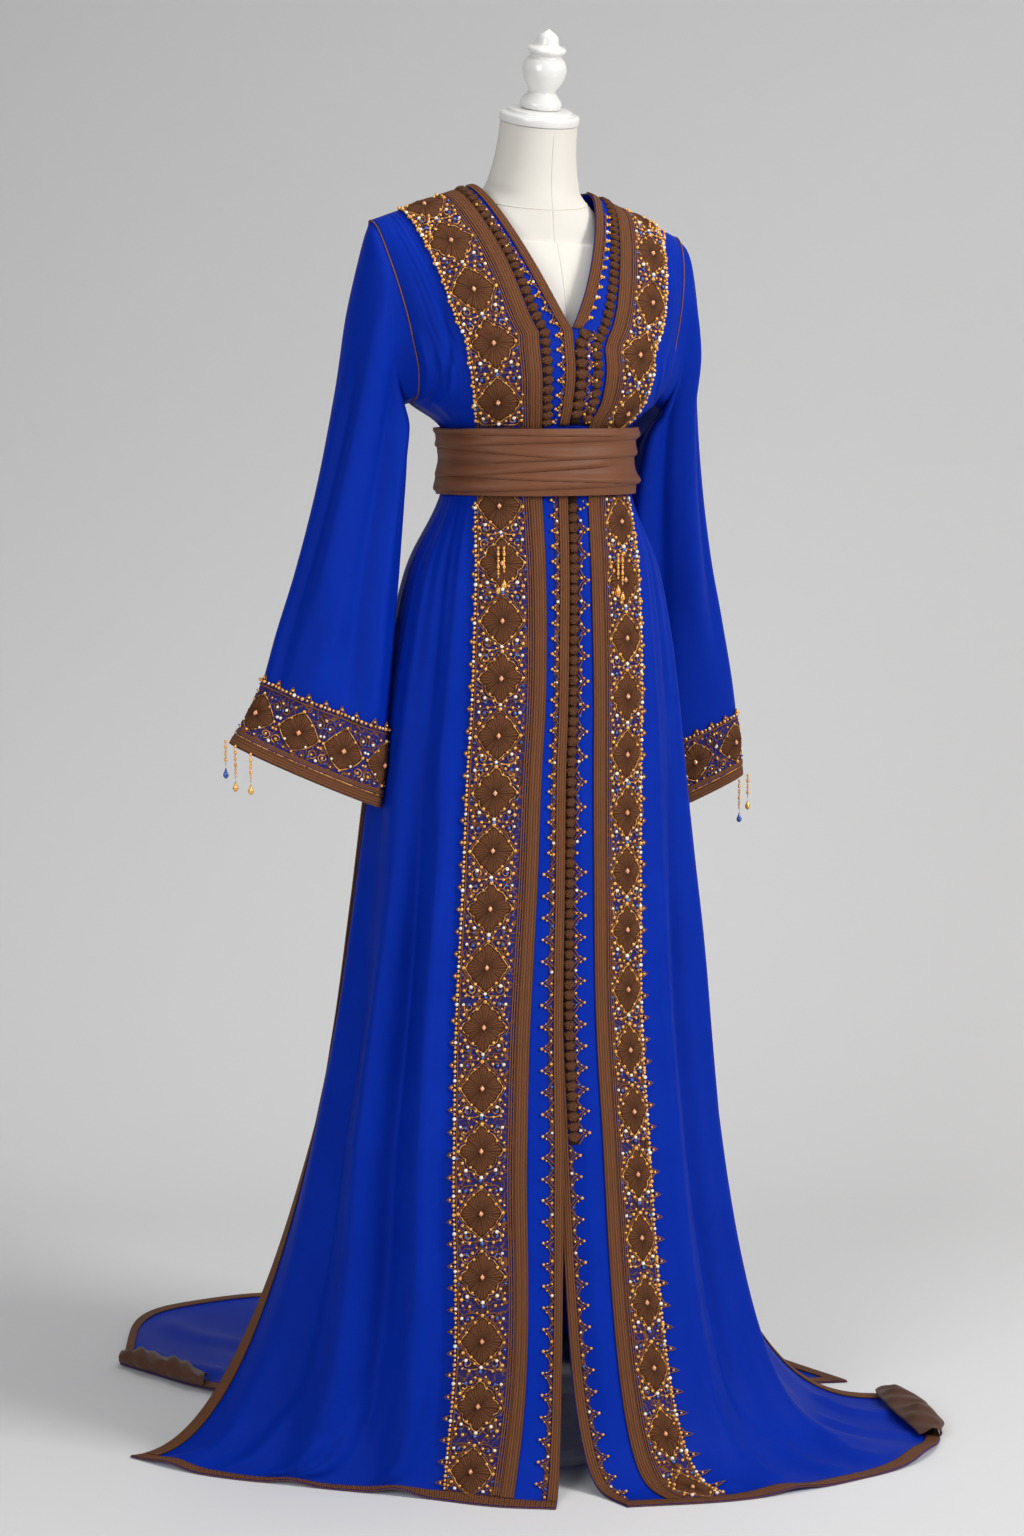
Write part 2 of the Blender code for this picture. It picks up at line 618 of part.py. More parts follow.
def make_front(side):
    """One front with everything sewn on it."""
    panel = front_panel(side)
    flip = side == "right"
    sheet(f"front_{side}", panel[0], flip, CLOTH, "crepe_blue")
    down, above_belt = slice(0, HEM_ROW + 1), slice(0, BELT_TOP_ROW + 1)
    below_belt = slice(BELT_FOOT_ROW, HEM_ROW + 1)
    slit, hem = slice(SLIT_ROW, HEM_ROW + 1), slice(HEM_ROW, None)
    neck_end = BELT_TOP_ROW + 1 if side == "right" else POINT_ROW + 1
    applied(f"neck_braid_{side}", panel, flip, slice(0, neck_end), slice(0, 2), BRAID, "braid_brown")
    applied(f"edge_braid_{side}", panel, flip, below_belt, slice(0, 2), BRAID, "braid_brown")
    lace_top = KNOT_END_ROW if side == "left" else BELT_FOOT_ROW
    lace = slice(lace_top, HEM_ROW + 1)
    applied(f"lace_{side}", panel, flip, lace, slice(1, 3), BRAID, "embroidery")
    if side == "left":
        chest, skirt = slice(POINT_ROW, BELT_TOP_ROW + 1), slice(BELT_FOOT_ROW, KNOT_END_ROW + 1)
        for part, rows in (("chest", chest), ("skirt", skirt)):
            applied(f"button_row_{part}", panel, flip, rows, slice(1, 3), KNOT_ROW, "braid_brown")
    applied(f"neck_knots_{side}", panel, flip, above_belt, slice(2, 4), KNOT_ROW, "braid_brown")
    applied(f"inner_braid_{side}", panel, flip, down, slice(3, 5), BRAID, "braid_brown")
    applied(f"embroidered_band_{side}", panel, flip, down, slice(4, 7), BRAID, "embroidery")
    outer, whole = slice(-2, None), slice(0, None)
    applied(f"slit_braid_front_{side}", panel, flip, slit, outer, BRAID, "braid_brown")
    applied(f"hem_braid_front_{side}", panel, flip, hem, whole, BRAID, "braid_brown")
    return panel


def make_back():
    """The back, with its slit and hem braids."""
    panel = back_panel()
    sheet("back", panel[0], True, CLOTH, "crepe_blue")
    slit, hem = slice(SLIT_ROW, HEM_ROW + 1), slice(HEM_ROW, None)
    for side, columns in (("right", slice(0, 2)), ("left", slice(-2, None))):
        applied(f"slit_braid_back_{side}", panel, True, slit, columns, BRAID, "braid_brown")
    applied("hem_braid_back", panel, True, hem, slice(0, None), BRAID, "braid_brown")
    return panel


def make_back_neck_braid():
    """A flat braid round the back of the neckline, from shoulder seam to shoulder seam."""
    rows = []
    for share in (0.004, 0.075):
        x = NECK_SIDE * np.linspace(-1, 1, 11) * 0.96
        rows.append(yoke_point(x, share, back=True))
    points = np.array(rows)
    normals = outward(points, True)
    sheet("neck_braid_back", points + normals * (CLOTH + 5 * PLY), True, BRAID, "braid_brown")


def make_belt():
    """A wide sash round the waist, with three soft pleats that run round it."""
    levels = np.linspace(BELT_LOW, BELT_HIGH, 5)
    swell = (0.0, 0.0026, 0.0010, 0.0030, 0.0036)
    angles = np.linspace(0, 360, BELT_RING, endpoint=False)
    rows = []
    for z, out in zip(levels[::-1], swell[::-1]):
        line = ring(angles, z)
        level = ring(angles, (BELT_LOW + BELT_HIGH) / 2)
        line = line * (0.4, 0.4, 1) + level * (0.6, 0.6, 0)
        away = line * (1, 1, 0)
        away /= np.linalg.norm(away, axis=1, keepdims=True)
        rows.append(line + away * (BELT_LIFT + out))
    sheet("belt", np.array(rows), False, BELT_WALL, "satin_brown", closed=True)


def sleeve_rings(side):
    """Rings of one sleeve, armhole first. Round a ring: top, front, underarm, back."""
    sign = -1 if side == "right" else 1
    count = SLEEVE_RING
    half = count // 2
    shares = (1 - np.cos(np.linspace(0, math.pi, half + 1))) / 2
    hole = []
    for share in shares:
        hole.append(yoke_point(np.array([sign * armhole_x(share, side)]), float(share), back=False)[0])
    for share in shares[-2:0:-1]:
        hole.append(yoke_point(np.array([sign * armhole_x(share, side)]), float(share), back=True)[0])
    rings = [np.array(hole) + np.array([sign * ARMHOLE_GAP, 0, 0.0])]
    turn = np.linspace(0, 2 * math.pi, count, endpoint=False)
    for out, behind, z, width, depth, swing, rise in (SLEEVE_RIGHT if side == "right" else SLEEVE_LEFT):
        centre = np.array([sign * out, behind, z])
        swing, rise = math.radians(swing), math.radians(rise)
        level = math.cos(rise)
        wide = np.array([sign * math.cos(swing) * level, math.sin(swing) * level, math.sin(rise)])
        deep = np.array([sign * math.sin(swing), -math.cos(swing), 0])
        rings.append(centre + np.outer(np.cos(turn), wide) * width + np.outer(np.sin(turn), deep) * depth)
    drop = np.clip(-np.sin(turn), 0, 1) * CUFF_BACK_DROP
    rings[-1][:, 2] -= drop
    return np.array(rings)


def sleeve_at(rings, rows):
    """The sleeve's surface between its rings, at row positions from 0 to the last ring."""
    flat = rings.reshape(len(rings), -1)
    return smooth(range(len(rings)), flat, np.asarray(rows, float)).reshape(len(rows), -1, 3)


def closed_outward(points, flip):
    """Normals of a tube's grid, whose columns go all the way round."""
    wrapped = np.concatenate([points[:, -1:], points, points[:, :1]], axis=1)
    return outward(wrapped, flip)[:, 1:-1]


def make_sleeve(side):
    """A wide sleeve with its armhole piping, cuff band and cuff braid."""
    rings = sleeve_rings(side)
    last = len(rings) - 1
    reach = float(np.linalg.norm(rings[-1].mean(0) - rings[-2].mean(0)))
    cuff, braid = last - CUFF_BAND / reach, last - CUFF_BRAID / reach
    points = sleeve_at(rings, [*SLEEVE_ROWS, cuff, braid, last])
    flip = side == "left"
    normals = closed_outward(points, flip)
    sheet(f"sleeve_{side}", points, flip, CLOTH, "crepe_blue", closed=True)
    lifted = points + normals * (CLOTH + PLY)
    gap = (lifted[-2] - lifted[-3]) * (2 * TRIM_GAP / reach)
    band = np.array([lifted[-3], lifted[-2] - gap])
    edging = np.array([lifted[-2] + gap, lifted[-1]])
    sheet(f"cuff_band_{side}", band, flip, BRAID, "embroidery", closed=True)
    sheet(f"cuff_braid_{side}", edging, flip, BRAID, "braid_brown", closed=True)
    seam = points[0] + normals[0] * (CLOTH + 4 * PLY + PIPING)
    piping(f"armhole_piping_{side}", seam, PIPING, "braid_brown")
    return points, normals


def make_turn_up(name, edge_line, inner_line):
    """A turned-up edge that shows the satin facing: a lip along a line of points at the edge."""
    inward = inner_line - edge_line
    inward[:, 2] = 0
    inward /= np.linalg.norm(inward, axis=1, keepdims=True)
    grow = np.sin(np.linspace(0.12, 0.88, len(edge_line)) * math.pi) ** 0.5
    rows = []
    for across, up in LIP:
        step = inward * (across * grow)[:, None]
        rise = np.array([0, 0, 1]) * (up * grow + CLOTH + BRAID + 3 * PLY)[:, None]
        rows.append(edge_line + step + rise)
    sheet(name, np.array(rows), False, CLOTH, "satin_brown")


# ---------------------------------------------------------------- the dress form
def make_form():
    """The bust: neck, shoulders, chest, waist and hips in one closed body."""
    half = FORM_RING // 2
    x_way = np.sin(np.linspace(-1, 1, half) * math.pi / 2)
    rings = []
    lean = math.radians(NECK_LEAN)
    foot = np.array(NECK_FOOT)
    axis = np.array([0, -math.sin(lean), math.cos(lean)])
    front_way = np.array([0, -math.cos(lean), -math.sin(lean)])
    around = np.concatenate([np.arcsin(x_way), math.pi - np.arcsin(x_way[::-1])])
    for height, radius in NECK_RINGS[::-1]:
        circle = foot + axis * height
        sideways = np.outer(np.sin(around), (radius, 0, 0))
        rings.append(circle + sideways + np.outer(np.cos(around), front_way * radius))

    def level(z, tilt=0.0):
        """The cloth's section at a height of the yoke, which may tilt, drawn in by the inset."""
        loop = []
        for way, back in ((x_way, False), (x_way[::-1], True)):
            for step in way:
                side = "right" if step < 0 else "left"
                share = 0.5
                for _ in range(12):  # the share whose row passes this height here
                    x = step * (armhole_x(share, side) - FORM_INSET)
                    top = float(yoke_point(np.array([x]), 0.0, back)[0, 2])
                    share = min(1.0, max(0.0, (top - z + x * tilt) / (top - ARMPIT_Z)))
                loop.append(yoke_point(np.array([x]), share, back)[0])
        both = (np.array(loop) - (0, RIDGE_Y, 0)) * (1, FORM_FLATTER, 1) + (0, RIDGE_Y, 0)
        away = (both - (0, RIDGE_Y, 0)) * (1, 1, 0)
        away /= np.linalg.norm(away, axis=1, keepdims=True)
        return both - away * FORM_INSET

    upper = level(FORM_SHOULDER_Z, SHOULDER_TILT)
    for share in (0.24, 0.55, 1.0):
        between = rings[len(NECK_RINGS) - 1] * (1 - share) + upper * share
        between[:, 2] -= FORM_SHOULDER_DIP * math.sin(math.pi * share)
        rings.append(between)
    rings += [level(1.590, SHOULDER_TILT / 2), level(1.540), level(1.480), level(ARMPIT_Z)]
    for z in (1.385, 1.340, 1.295, 1.210, FORM_FOOT_Z + 0.006, FORM_FOOT_Z):
        line = ring(np.degrees(around), z)
        away = line * (1, 1, 0)
        away /= np.linalg.norm(away, axis=1, keepdims=True)
        rings.append(line - away * (FORM_INSET + (0.004 if z == FORM_FOOT_Z else 0)))
    points = np.array(rings)
    count, width = points.shape[:2]
    faces = []
    for row in range(count - 1):
        for col in range(width):
            after = (col + 1) % width
            here, below = row * width, (row + 1) * width
            faces.append([here + col, below + col, below + after, here + after])
    faces.append(list(range(width)))
    faces.append([(count - 1) * width + col for col in reversed(range(width))])
    mesh = bpy.data.meshes.new("form_bust")
    mesh.from_pydata(points.reshape(-1, 3).tolist(), [], faces)
    mesh.shade_smooth()
    mesh.set_sharp_from_angle(angle=math.radians(45))
    add_object("form_bust", mesh, "form_ivory")
    return foot + axis * (NECK_RINGS[-1][0] + PLY), axis


def make_stand():
    """Neck cap, finial, flange, pole, socket and base."""
    top, axis = make_form()
    turned("neck_cap", NECK_CAP, "wood_white", top, NECK_LEAN)
    turned("finial", FINIAL, "wood_white", top + axis * (NECK_CAP[-1][1] + FINIAL_SEAT), FINIAL_LEAN)
    turned("form_flange", FLANGE_PROFILE, "stand_pale", (0, 0, FORM_FOOT_Z - FLANGE_PROFILE[-1][1] - PLY))
    pole_top = FORM_FOOT_Z - FLANGE_PROFILE[-1][1] - 2 * PLY
    pole_foot = BASE_PROFILE[-1][1] + PLY
    turned("pole", ((0, pole_foot), (POLE_RADIUS, pole_foot), (POLE_RADIUS, pole_top), (0, pole_top)),
           "stand_pale", steps=16)
    turned("base_socket", SOCKET_PROFILE, "stand_pale")
    turned("base", BASE_PROFILE, "stand_pale", steps=28)


# ---------------------------------------------------------------- bead strings
def bead_string(name, top, length):
    """A string of beads with a drop at its end, as the plain solid of its reach."""
    profile = ((0, -length), (DROP_RADIUS * 0.6, -length + 0.004), (DROP_RADIUS, -length + 0.009),
               (STRING_RADIUS, -length + 0.018), (STRING_RADIUS, 0), (0, 0))
    turned(name, profile, "beads", top, steps=8)


def make_cuff_strings(side, points, normals):
    """Bead strings that hang from the outer corner of a cuff."""
    rim, away = points[-1], normals[-1]
    for number, (place, length) in enumerate(CUFF_STRINGS[side], 1):
        low = int(place)
        t = place - low
        spot = rim[low] * (1 - t) + rim[low + 1] * t
        out = away[low] * (1 - t) + away[low + 1] * t
        lift = CLOTH + BRAID + 2 * PLY + STRING_RADIUS + DROP_RADIUS
        bead_string(f"cuff_string_{side}_{number}", spot + out * lift, length)


def main():
    fronts = {side: make_front(side) for side in ("right", "left")}
    back = make_back()
    make_back_neck_braid()
    make_belt()
    for side in fronts:
        points, normals = make_sleeve(side)
        make_cuff_strings(side, points, normals)
    hem = fronts["left"][0]
    make_turn_up("facing_front_left", hem[-1, -3:], hem[-2, -3:])
    train = back[0][-5:]
    make_turn_up("facing_train", train[:, 0], train[:, 1])
    make_stand()


clear_scene()
MATERIALS = make_materials()
KAFTAN = bpy.data.collections.new("moroccan_kaftan_on_dress_form")
bpy.context.scene.collection.children.link(KAFTAN)
main()
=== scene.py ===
# %% [markdown]
# # A Moroccan kaftan on a limbless dress form
# The real object is the long outer robe of a two-piece dress. It is cut from blue crepe, sewn with
# brown braid, knotted buttons and beaded bands, tied with a satin sash and shown on a padded form.
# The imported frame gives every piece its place, so each cloth surface here is worked out from the
# same cutting tables as the frame, only with many more points, and then gets its creases.

# %% Load the frame
import math
import bmesh
import bpy
import numpy as np
from mathutils import Matrix, Vector


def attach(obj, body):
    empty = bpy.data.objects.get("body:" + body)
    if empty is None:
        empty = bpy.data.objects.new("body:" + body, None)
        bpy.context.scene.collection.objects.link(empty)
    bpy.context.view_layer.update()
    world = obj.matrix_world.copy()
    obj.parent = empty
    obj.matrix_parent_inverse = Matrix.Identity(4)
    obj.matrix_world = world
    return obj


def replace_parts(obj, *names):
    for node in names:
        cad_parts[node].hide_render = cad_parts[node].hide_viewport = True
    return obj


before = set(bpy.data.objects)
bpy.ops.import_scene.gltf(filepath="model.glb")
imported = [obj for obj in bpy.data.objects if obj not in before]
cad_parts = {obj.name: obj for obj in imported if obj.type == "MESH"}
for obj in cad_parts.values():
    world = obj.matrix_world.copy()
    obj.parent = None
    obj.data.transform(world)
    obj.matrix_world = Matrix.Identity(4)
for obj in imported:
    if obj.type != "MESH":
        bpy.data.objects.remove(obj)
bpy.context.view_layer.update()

# %% [markdown]
# ## The cutting tables
# A kaftan has few pieces: two fronts, a back with a train and two wide sleeves. Level sections of
# the worn garment, the line of its hem on the floor and the rings of its sleeves describe them all.
# Keeping these as short tables means that one number can be changed and everything sewn on follows.

# %% Thicknesses and heights, in metres
CLOTH, BRAID, PLY = 0.0016, 0.0014, 0.0004
SEAM, TRIM_GAP, FLOOR_GAP = 0.0002, 0.0006, 0.0006
NECK_SIDE, SHOULDER_TIP = 0.081, 0.222
NECK_Z, SHOULDER_Z, SHOULDER_TILT = 1.694, 1.640, 0.045
NECKLINE_CURVE = 0.85
BACK_NECK_DEPTH, BACK_NECK_DROP = 0.062, 0.010
RIDGE_Y, ARMPIT_Z, V_DEPTH = 0.026, 1.418, 0.70
SLIT_Z, BREAK_Z = 0.950, 0.450
ROUNDNESS, UNDERLAP = 2.25, -0.012
DIP_REACH, DIP_CHEST, DIP_SKIRT = (0.014, 0.040), 0.0026, 0.0068
HEM_BRAID, SLIT_BRAID = 0.020, 0.022
BELT_LOW, BELT_HIGH, BELT_LIFT, BELT_WALL = 1.295, 1.382, 0.0100, 0.0030
FOLD_TOP, FOLD_FULL = 1.22, 0.55
CUFF_BAND, CUFF_BRAID, CUFF_BACK_DROP = 0.095, 0.017, 0.008
ARMHOLE_GAP = 0.0004

# %% Level sections: half widths right and left, depths in front and behind
SECTIONS = (
    # z,    right, left,  front, back
    (1.720, 0.252, 0.242, 0.060, 0.078),
    (1.640, 0.240, 0.226, 0.083, 0.090),
    (1.560, 0.223, 0.208, 0.106, 0.100),
    (1.500, 0.207, 0.192, 0.122, 0.104),
    (1.450, 0.194, 0.178, 0.130, 0.103),
    (1.415, 0.173, 0.158, 0.120, 0.098),
    (1.392, 0.137, 0.130, 0.107, 0.094),
    (1.374, 0.121, 0.119, 0.0985, 0.092),
    (1.340, 0.118, 0.117, 0.097, 0.093),
    (1.295, 0.127, 0.126, 0.098, 0.102),
    (1.200, 0.172, 0.163, 0.108, 0.134),
    (1.100, 0.197, 0.184, 0.116, 0.152),
    (0.950, 0.221, 0.201, 0.126, 0.168),
    (0.740, 0.247, 0.216, 0.145, 0.190),
    (0.600, 0.267, 0.224, 0.161, 0.207),
    (0.450, 0.298, 0.236, 0.182, 0.230),
)
EDGES = (
    # z,    right edge x, left edge x, seam angle, back's edge angle
    (1.430, 0.0010, UNDERLAP, 90.0, 90.0),
    (1.300, 0.0035, -0.0095, 96.0, 96.0),
    (1.100, -0.0020, -0.0150, 101.0, 101.0),
    (1.000, -0.0060, -0.0190, 103.0, 103.0),
    (0.950, -0.0090, -0.0220, 104.0, 104.0),
    (0.800, -0.0150, -0.0300, 104.5, 107.0),
    (0.600, -0.0240, -0.0395, 104.5, 113.0),
    (0.450, -0.0280, -0.0410, 104.5, 121.0),
)
ARMHOLE = (
    # share of the yoke, right, left
    (0.00, 0.222, 0.210),
    (0.15, 0.218, 0.204),
    (0.35, 0.209, 0.194),
    (0.60, 0.196, 0.181),
    (0.85, 0.184, 0.168),
    (1.00, 0.178, 0.162),
)
print(len(SECTIONS), "level sections from", SECTIONS[0][0], "down to", SECTIONS[-1][0], "m")

# %% The hem on the floor: place, and how late the cloth leaves the vertical
HEM_RIGHT = (
    # x,     y,      bend
    (-0.091, -0.290, 3.4),
    (-0.155, -0.255, 2.9),
    (-0.228, -0.193, 3.0),
    (-0.368, -0.082, 3.0),
    (-0.477, 0.013, 2.5),
    (-0.544, 0.115, 2.1),
)
HEM_LEFT = (
    (-0.002, -0.317, 4.8),
    (0.146, -0.348, 4.2),
    (0.315, -0.336, 4.8),
    (0.436, -0.299, 5.6),
    (0.504, -0.232, 4.8),
    (0.537, -0.130, 3.8),
    (0.545, -0.030, 3.0),
)
HEM_BACK = (
    (-0.448, 0.519, 6.0),
    (-0.308, 0.786, 7.0),
    (-0.060, 0.735, 6.0),
    (0.180, 0.640, 5.5),
    (0.370, 0.450, 5.0),
    (0.455, 0.220, 4.6),
    (0.510, 0.050, 4.2),
)
# Distances in from each front's edge, at stations down it: 0 shoulder, 1 point, 2 belt, 3 break, 4 hem
BANDS = {
    "right": (
        # station, braid, lace, inner braid's two sides, band's middle, band's outer side
        (0.00, 0.010, 0.0125, 0.0260, 0.0440, 0.0780, 0.1100),
        (0.50, 0.012, 0.0175, 0.0320, 0.0510, 0.0860, 0.1230),
        (1.00, 0.014, 0.0290, 0.0460, 0.0660, 0.1035, 0.1410),
        (1.60, 0.014, 0.0270, 0.0415, 0.0610, 0.0960, 0.1310),
        (2.00, 0.014, 0.0230, 0.0350, 0.0530, 0.0880, 0.1240),
        (2.25, 0.014, 0.0230, 0.0310, 0.0490, 0.0885, 0.1290),
        (2.55, 0.014, 0.0260, 0.0365, 0.0545, 0.0955, 0.1365),
        (3.00, 0.014, 0.0310, 0.0500, 0.0690, 0.1085, 0.1480),
        (4.00, 0.014, 0.0320, 0.0580, 0.0780, 0.1140, 0.1500),
    ),
    "left": (
        (0.00, 0.011, 0.0180, 0.0310, 0.0500, 0.0760, 0.1010),
        (0.50, 0.013, 0.0230, 0.0395, 0.0590, 0.0890, 0.1180),
        (1.00, 0.014, 0.0290, 0.0530, 0.0720, 0.1035, 0.1350),
        (1.25, 0.014, 0.0295, 0.0560, 0.0750, 0.1065, 0.1380),
        (1.60, 0.014, 0.0290, 0.0530, 0.0720, 0.1020, 0.1320),
        (2.00, 0.014, 0.0290, 0.0415, 0.0605, 0.0900, 0.1200),
        (2.25, 0.014, 0.0290, 0.0470, 0.0660, 0.0950, 0.1250),
        (2.55, 0.014, 0.0300, 0.0530, 0.0720, 0.0990, 0.1260),
        (3.00, 0.014, 0.0310, 0.0600, 0.0790, 0.1050, 0.1310),
        (4.00, 0.014, 0.0320, 0.0700, 0.0920, 0.1280, 0.1640),
    ),
}
FOLDS = {  # large folds: place between the seams or from band to seam, width, height
    "right": ((0.14, 0.045, 0.009), (0.31, 0.050, -0.012), (0.46, 0.040, 0.006), (0.66, 0.060, -0.008),
              (0.86, 0.050, 0.006)),
    "left": ((0.12, 0.045, 0.006), (0.31, 0.050, -0.012), (0.52, 0.055, 0.009), (0.78, 0.055, -0.008)),
    "back": ((0.07, 0.050, 0.008), (0.19, 0.045, -0.009), (0.32, 0.050, 0.012), (0.46, 0.045, -0.010),
             (0.57, 0.045, 0.011), (0.70, 0.050, -0.010), (0.82, 0.045, 0.010), (0.93, 0.040, -0.007)),
}

# %% Rings of the sleeves: centre, half width and depth, and the way the width points
SLEEVES = {
    "right": (
        # out,   back,  z,     width,  depth, turn, rise
        (0.2160, 0.008, 1.514, 0.1080, 0.049, 0.0, 79.0),
        (0.2220, 0.013, 1.460, 0.0800, 0.050, 4.0, 64.0),
        (0.2265, 0.018, 1.392, 0.0580, 0.050, 9.0, 37.0),
        (0.2425, 0.018, 1.285, 0.0590, 0.047, 13.0, 19.0),
        (0.2630, 0.014, 1.178, 0.0680, 0.045, 16.0, 18.0),
        (0.2820, 0.011, 1.088, 0.0790, 0.042, 17.0, 21.0),
        (0.3010, 0.009, 0.995, 0.0900, 0.040, 17.0, 23.0),
        (0.3250, 0.005, 0.930, 0.1050, 0.038, 16.0, 24.0),
    ),
    "left": (
        (0.2030, 0.012, 1.506, 0.1030, 0.049, 0.0, 79.0),
        (0.2090, 0.028, 1.444, 0.0740, 0.050, -3.0, 62.0),
        (0.2060, 0.050, 1.384, 0.0580, 0.050, -6.0, 36.0),
        (0.2150, 0.082, 1.280, 0.0650, 0.047, -9.0, 19.0),
        (0.2290, 0.106, 1.172, 0.0760, 0.045, -12.0, 18.0),
        (0.2430, 0.122, 1.082, 0.0870, 0.042, -14.0, 20.0),
        (0.2570, 0.134, 0.975, 0.0980, 0.040, -16.0, 22.0),
        (0.2680, 0.141, 0.846, 0.1060, 0.038, -17.0, 24.0),
    ),
}
print("sleeve lengths:", {side: round(rings[0][2] - rings[-1][2], 3) for side, rings in SLEEVES.items()})

# %% [markdown]
# ## Reading the tables
# A table holds a few heights only. A cubic curve through its rows gives any height between them
# without corners, which is what a cutter's French curve does on paper.

# %% Smooth reading, ramps and lengths along a line
def smooth(keys, values, at):
    """Cubic curve through the values at the keys, read at one number or an array."""
    keys, values = np.asarray(keys, float), np.asarray(values, float)
    if keys[0] > keys[-1]:
        keys, values = keys[::-1], values[::-1]
    slopes = np.gradient(values, keys, axis=0)
    at = np.clip(np.asarray(at, float), keys[0], keys[-1])
    low = np.clip(np.searchsorted(keys, at, side="right") - 1, 0, len(keys) - 2)
    span = keys[low + 1] - keys[low]
    t = (at - keys[low]) / span
    if values.ndim > 1:
        t, span = t[..., None], span[..., None]
    start, end = values[low], values[low + 1]
    return (start * (2 * t**3 - 3 * t**2 + 1) + slopes[low] * span * (t**3 - 2 * t**2 + t)
            + end * (3 * t**2 - 2 * t**3) + slopes[low + 1] * span * (t**3 - t**2))


def ramp(low, high, at):
    """0 up to low, 1 from high on, smooth in between."""
    t = np.clip((np.asarray(at, float) - low) / (high - low), 0, 1)
    return t * t * (3 - 2 * t)


def along(points):
    """Length along a line of points, from its start."""
    return np.concatenate([[0.0], np.cumsum(np.linalg.norm(np.diff(points, axis=0), axis=1))])


def at_distances(points, distances):
    """Points of a line at the given distances from its start."""
    run = along(points)
    return np.stack([np.interp(distances, run, points[:, k]) for k in range(3)], axis=1)


def section(z, x):
    """Half width on x's side, front depth and back depth of the garment at a height."""
    table = np.array(SECTIONS)
    right, left, front, back = np.moveaxis(smooth(table[:, 0], table[:, 1:], z), -1, 0)
    return np.where(np.asarray(x) < 0, right, left), front, back


def edge(name, z):
    """One column of EDGES at a height."""
    table = np.array(EDGES)
    return smooth(table[:, 0], table[:, ("right", "left", "seam", "back").index(name) + 1], z)


print("half width and depths at the waist:", [round(float(v), 4) for v in section(1.34, 1.0)])

# %% [markdown]
# ## The garment's surface
# Below the armpits the cloth follows level rings, like hoops inside a skirt. Above them each row
# runs over the shoulder from front to back, and below the knee each row walks out to the hem line.

# %% Rings, yoke and hem rows
def ring(angle, z):
    """Points of the level section at angles from the centre front, in degrees, +X positive."""
    turn = np.radians(angle)
    half, front, back = section(z, np.sin(turn))
    power = 2 / ROUNDNESS
    x = half * np.sign(np.sin(turn)) * np.abs(np.sin(turn)) ** power
    deep = np.where(np.cos(turn) >= 0, front, back)
    y = -deep * np.sign(np.cos(turn)) * np.abs(np.cos(turn)) ** power
    return np.stack([x, y, np.broadcast_to(z, np.shape(x))], axis=-1)


def angle_of(x, z):
    """The section's angle in front where it is x from the centre."""
    half = float(section(z, x)[0])
    return math.degrees(math.asin(min(1.0, abs(x) / half) ** (ROUNDNESS / 2))) * (1 if x >= 0 else -1)


def yoke_point(x, share, back):
    """The yoke's surface: share 0 is the shoulder seam and 1 the armpit's level."""
    side = np.abs(x)
    slope = (NECK_Z - SHOULDER_Z) / (SHOULDER_TIP - NECK_SIDE)
    top = NECK_Z - (side - NECK_SIDE) * slope - x * SHOULDER_TILT
    start_y = np.full_like(x, RIDGE_Y + (SEAM if back else -SEAM))
    if back:  # the neckline runs round behind the neck
        inside = np.clip(1 - (side / NECK_SIDE) ** 2, 0, 1)
        top = np.where(side < NECK_SIDE, NECK_Z - BACK_NECK_DROP * inside - x * SHOULDER_TILT, top)
        start_y = start_y + BACK_NECK_DEPTH * np.sqrt(inside)
    z = top * (1 - share) + ARMPIT_Z * share
    half, front, behind = section(z, x)
    bulge = np.clip(1 - (side / half) ** ROUNDNESS, 0, 1) ** (1 / ROUNDNESS)
    y = bulge * (behind if back else -front)
    round_over = math.sqrt(1 - (1 - min(share / 0.6, 1.0)) ** 2)
    return np.stack([x, start_y * (1 - round_over) + y * round_over, z], axis=-1)


def armhole_x(share, side):
    """How far out the panels reach on a side at this share of the yoke."""
    table = np.array(ARMHOLE)
    reach = float(smooth(table[:, 0], table[:, 1 if side == "right" else 2], share))
    half = section(SHOULDER_Z * (1 - share) + ARMPIT_Z * share, -1 if side == "right" else 1)[0]
    return min(reach, float(half) * 0.9999)


def sweep_row(start, table, step):
    """From the skirt's break out to the hem. Step 1 is the hem braid's inner edge, 2 the hem."""
    run = along(start)
    rows = np.array(table)
    hem = along(np.column_stack([rows[:, :2], np.zeros(len(rows))]))
    found = smooth(hem / hem[-1], rows, run / run[-1])
    target, bend = found[:, :2], found[:, 2]
    reach = np.linalg.norm(target - start[:, :2], axis=1)
    last = 1 - HEM_BRAID / reach
    u = step * last if step <= 1 else last + (step - 1) * (1 - last)
    flat = start[:, :2] + (target - start[:, :2]) * np.asarray(u)[:, None]
    z = (BREAK_Z - FLOOR_GAP) * (1 - u) ** bend + FLOOR_GAP
    return np.column_stack([flat, z])


# %% One row of a front or of the back
def front_row(side, stage, value):
    """A row of one front, from its edge to the armhole or side seam, as a fine line."""
    sign = -1 if side == "right" else 1
    q = np.linspace(0, 1, 361)
    if stage == "yoke":
        left = 1 - value / V_DEPTH
        first = NECK_SIDE * math.copysign(abs(left) ** NECKLINE_CURVE, left)
        first = max(first, 0.0 if side == "right" else UNDERLAP)
        x = first + (armhole_x(value, side) - first) * np.sin(q * math.pi / 2)
        return yoke_point(x * sign, value, back=False)
    z = value if stage == "drop" else BREAK_Z
    start = angle_of(sign * float(edge(side, z)), z)
    gap = math.degrees(SEAM / 0.2)
    line = ring(sign * (start + (float(edge("seam", z)) - gap - start) * q), z)
    if stage == "sweep":
        line = sweep_row(line, HEM_RIGHT if side == "right" else HEM_LEFT, value)
    return line


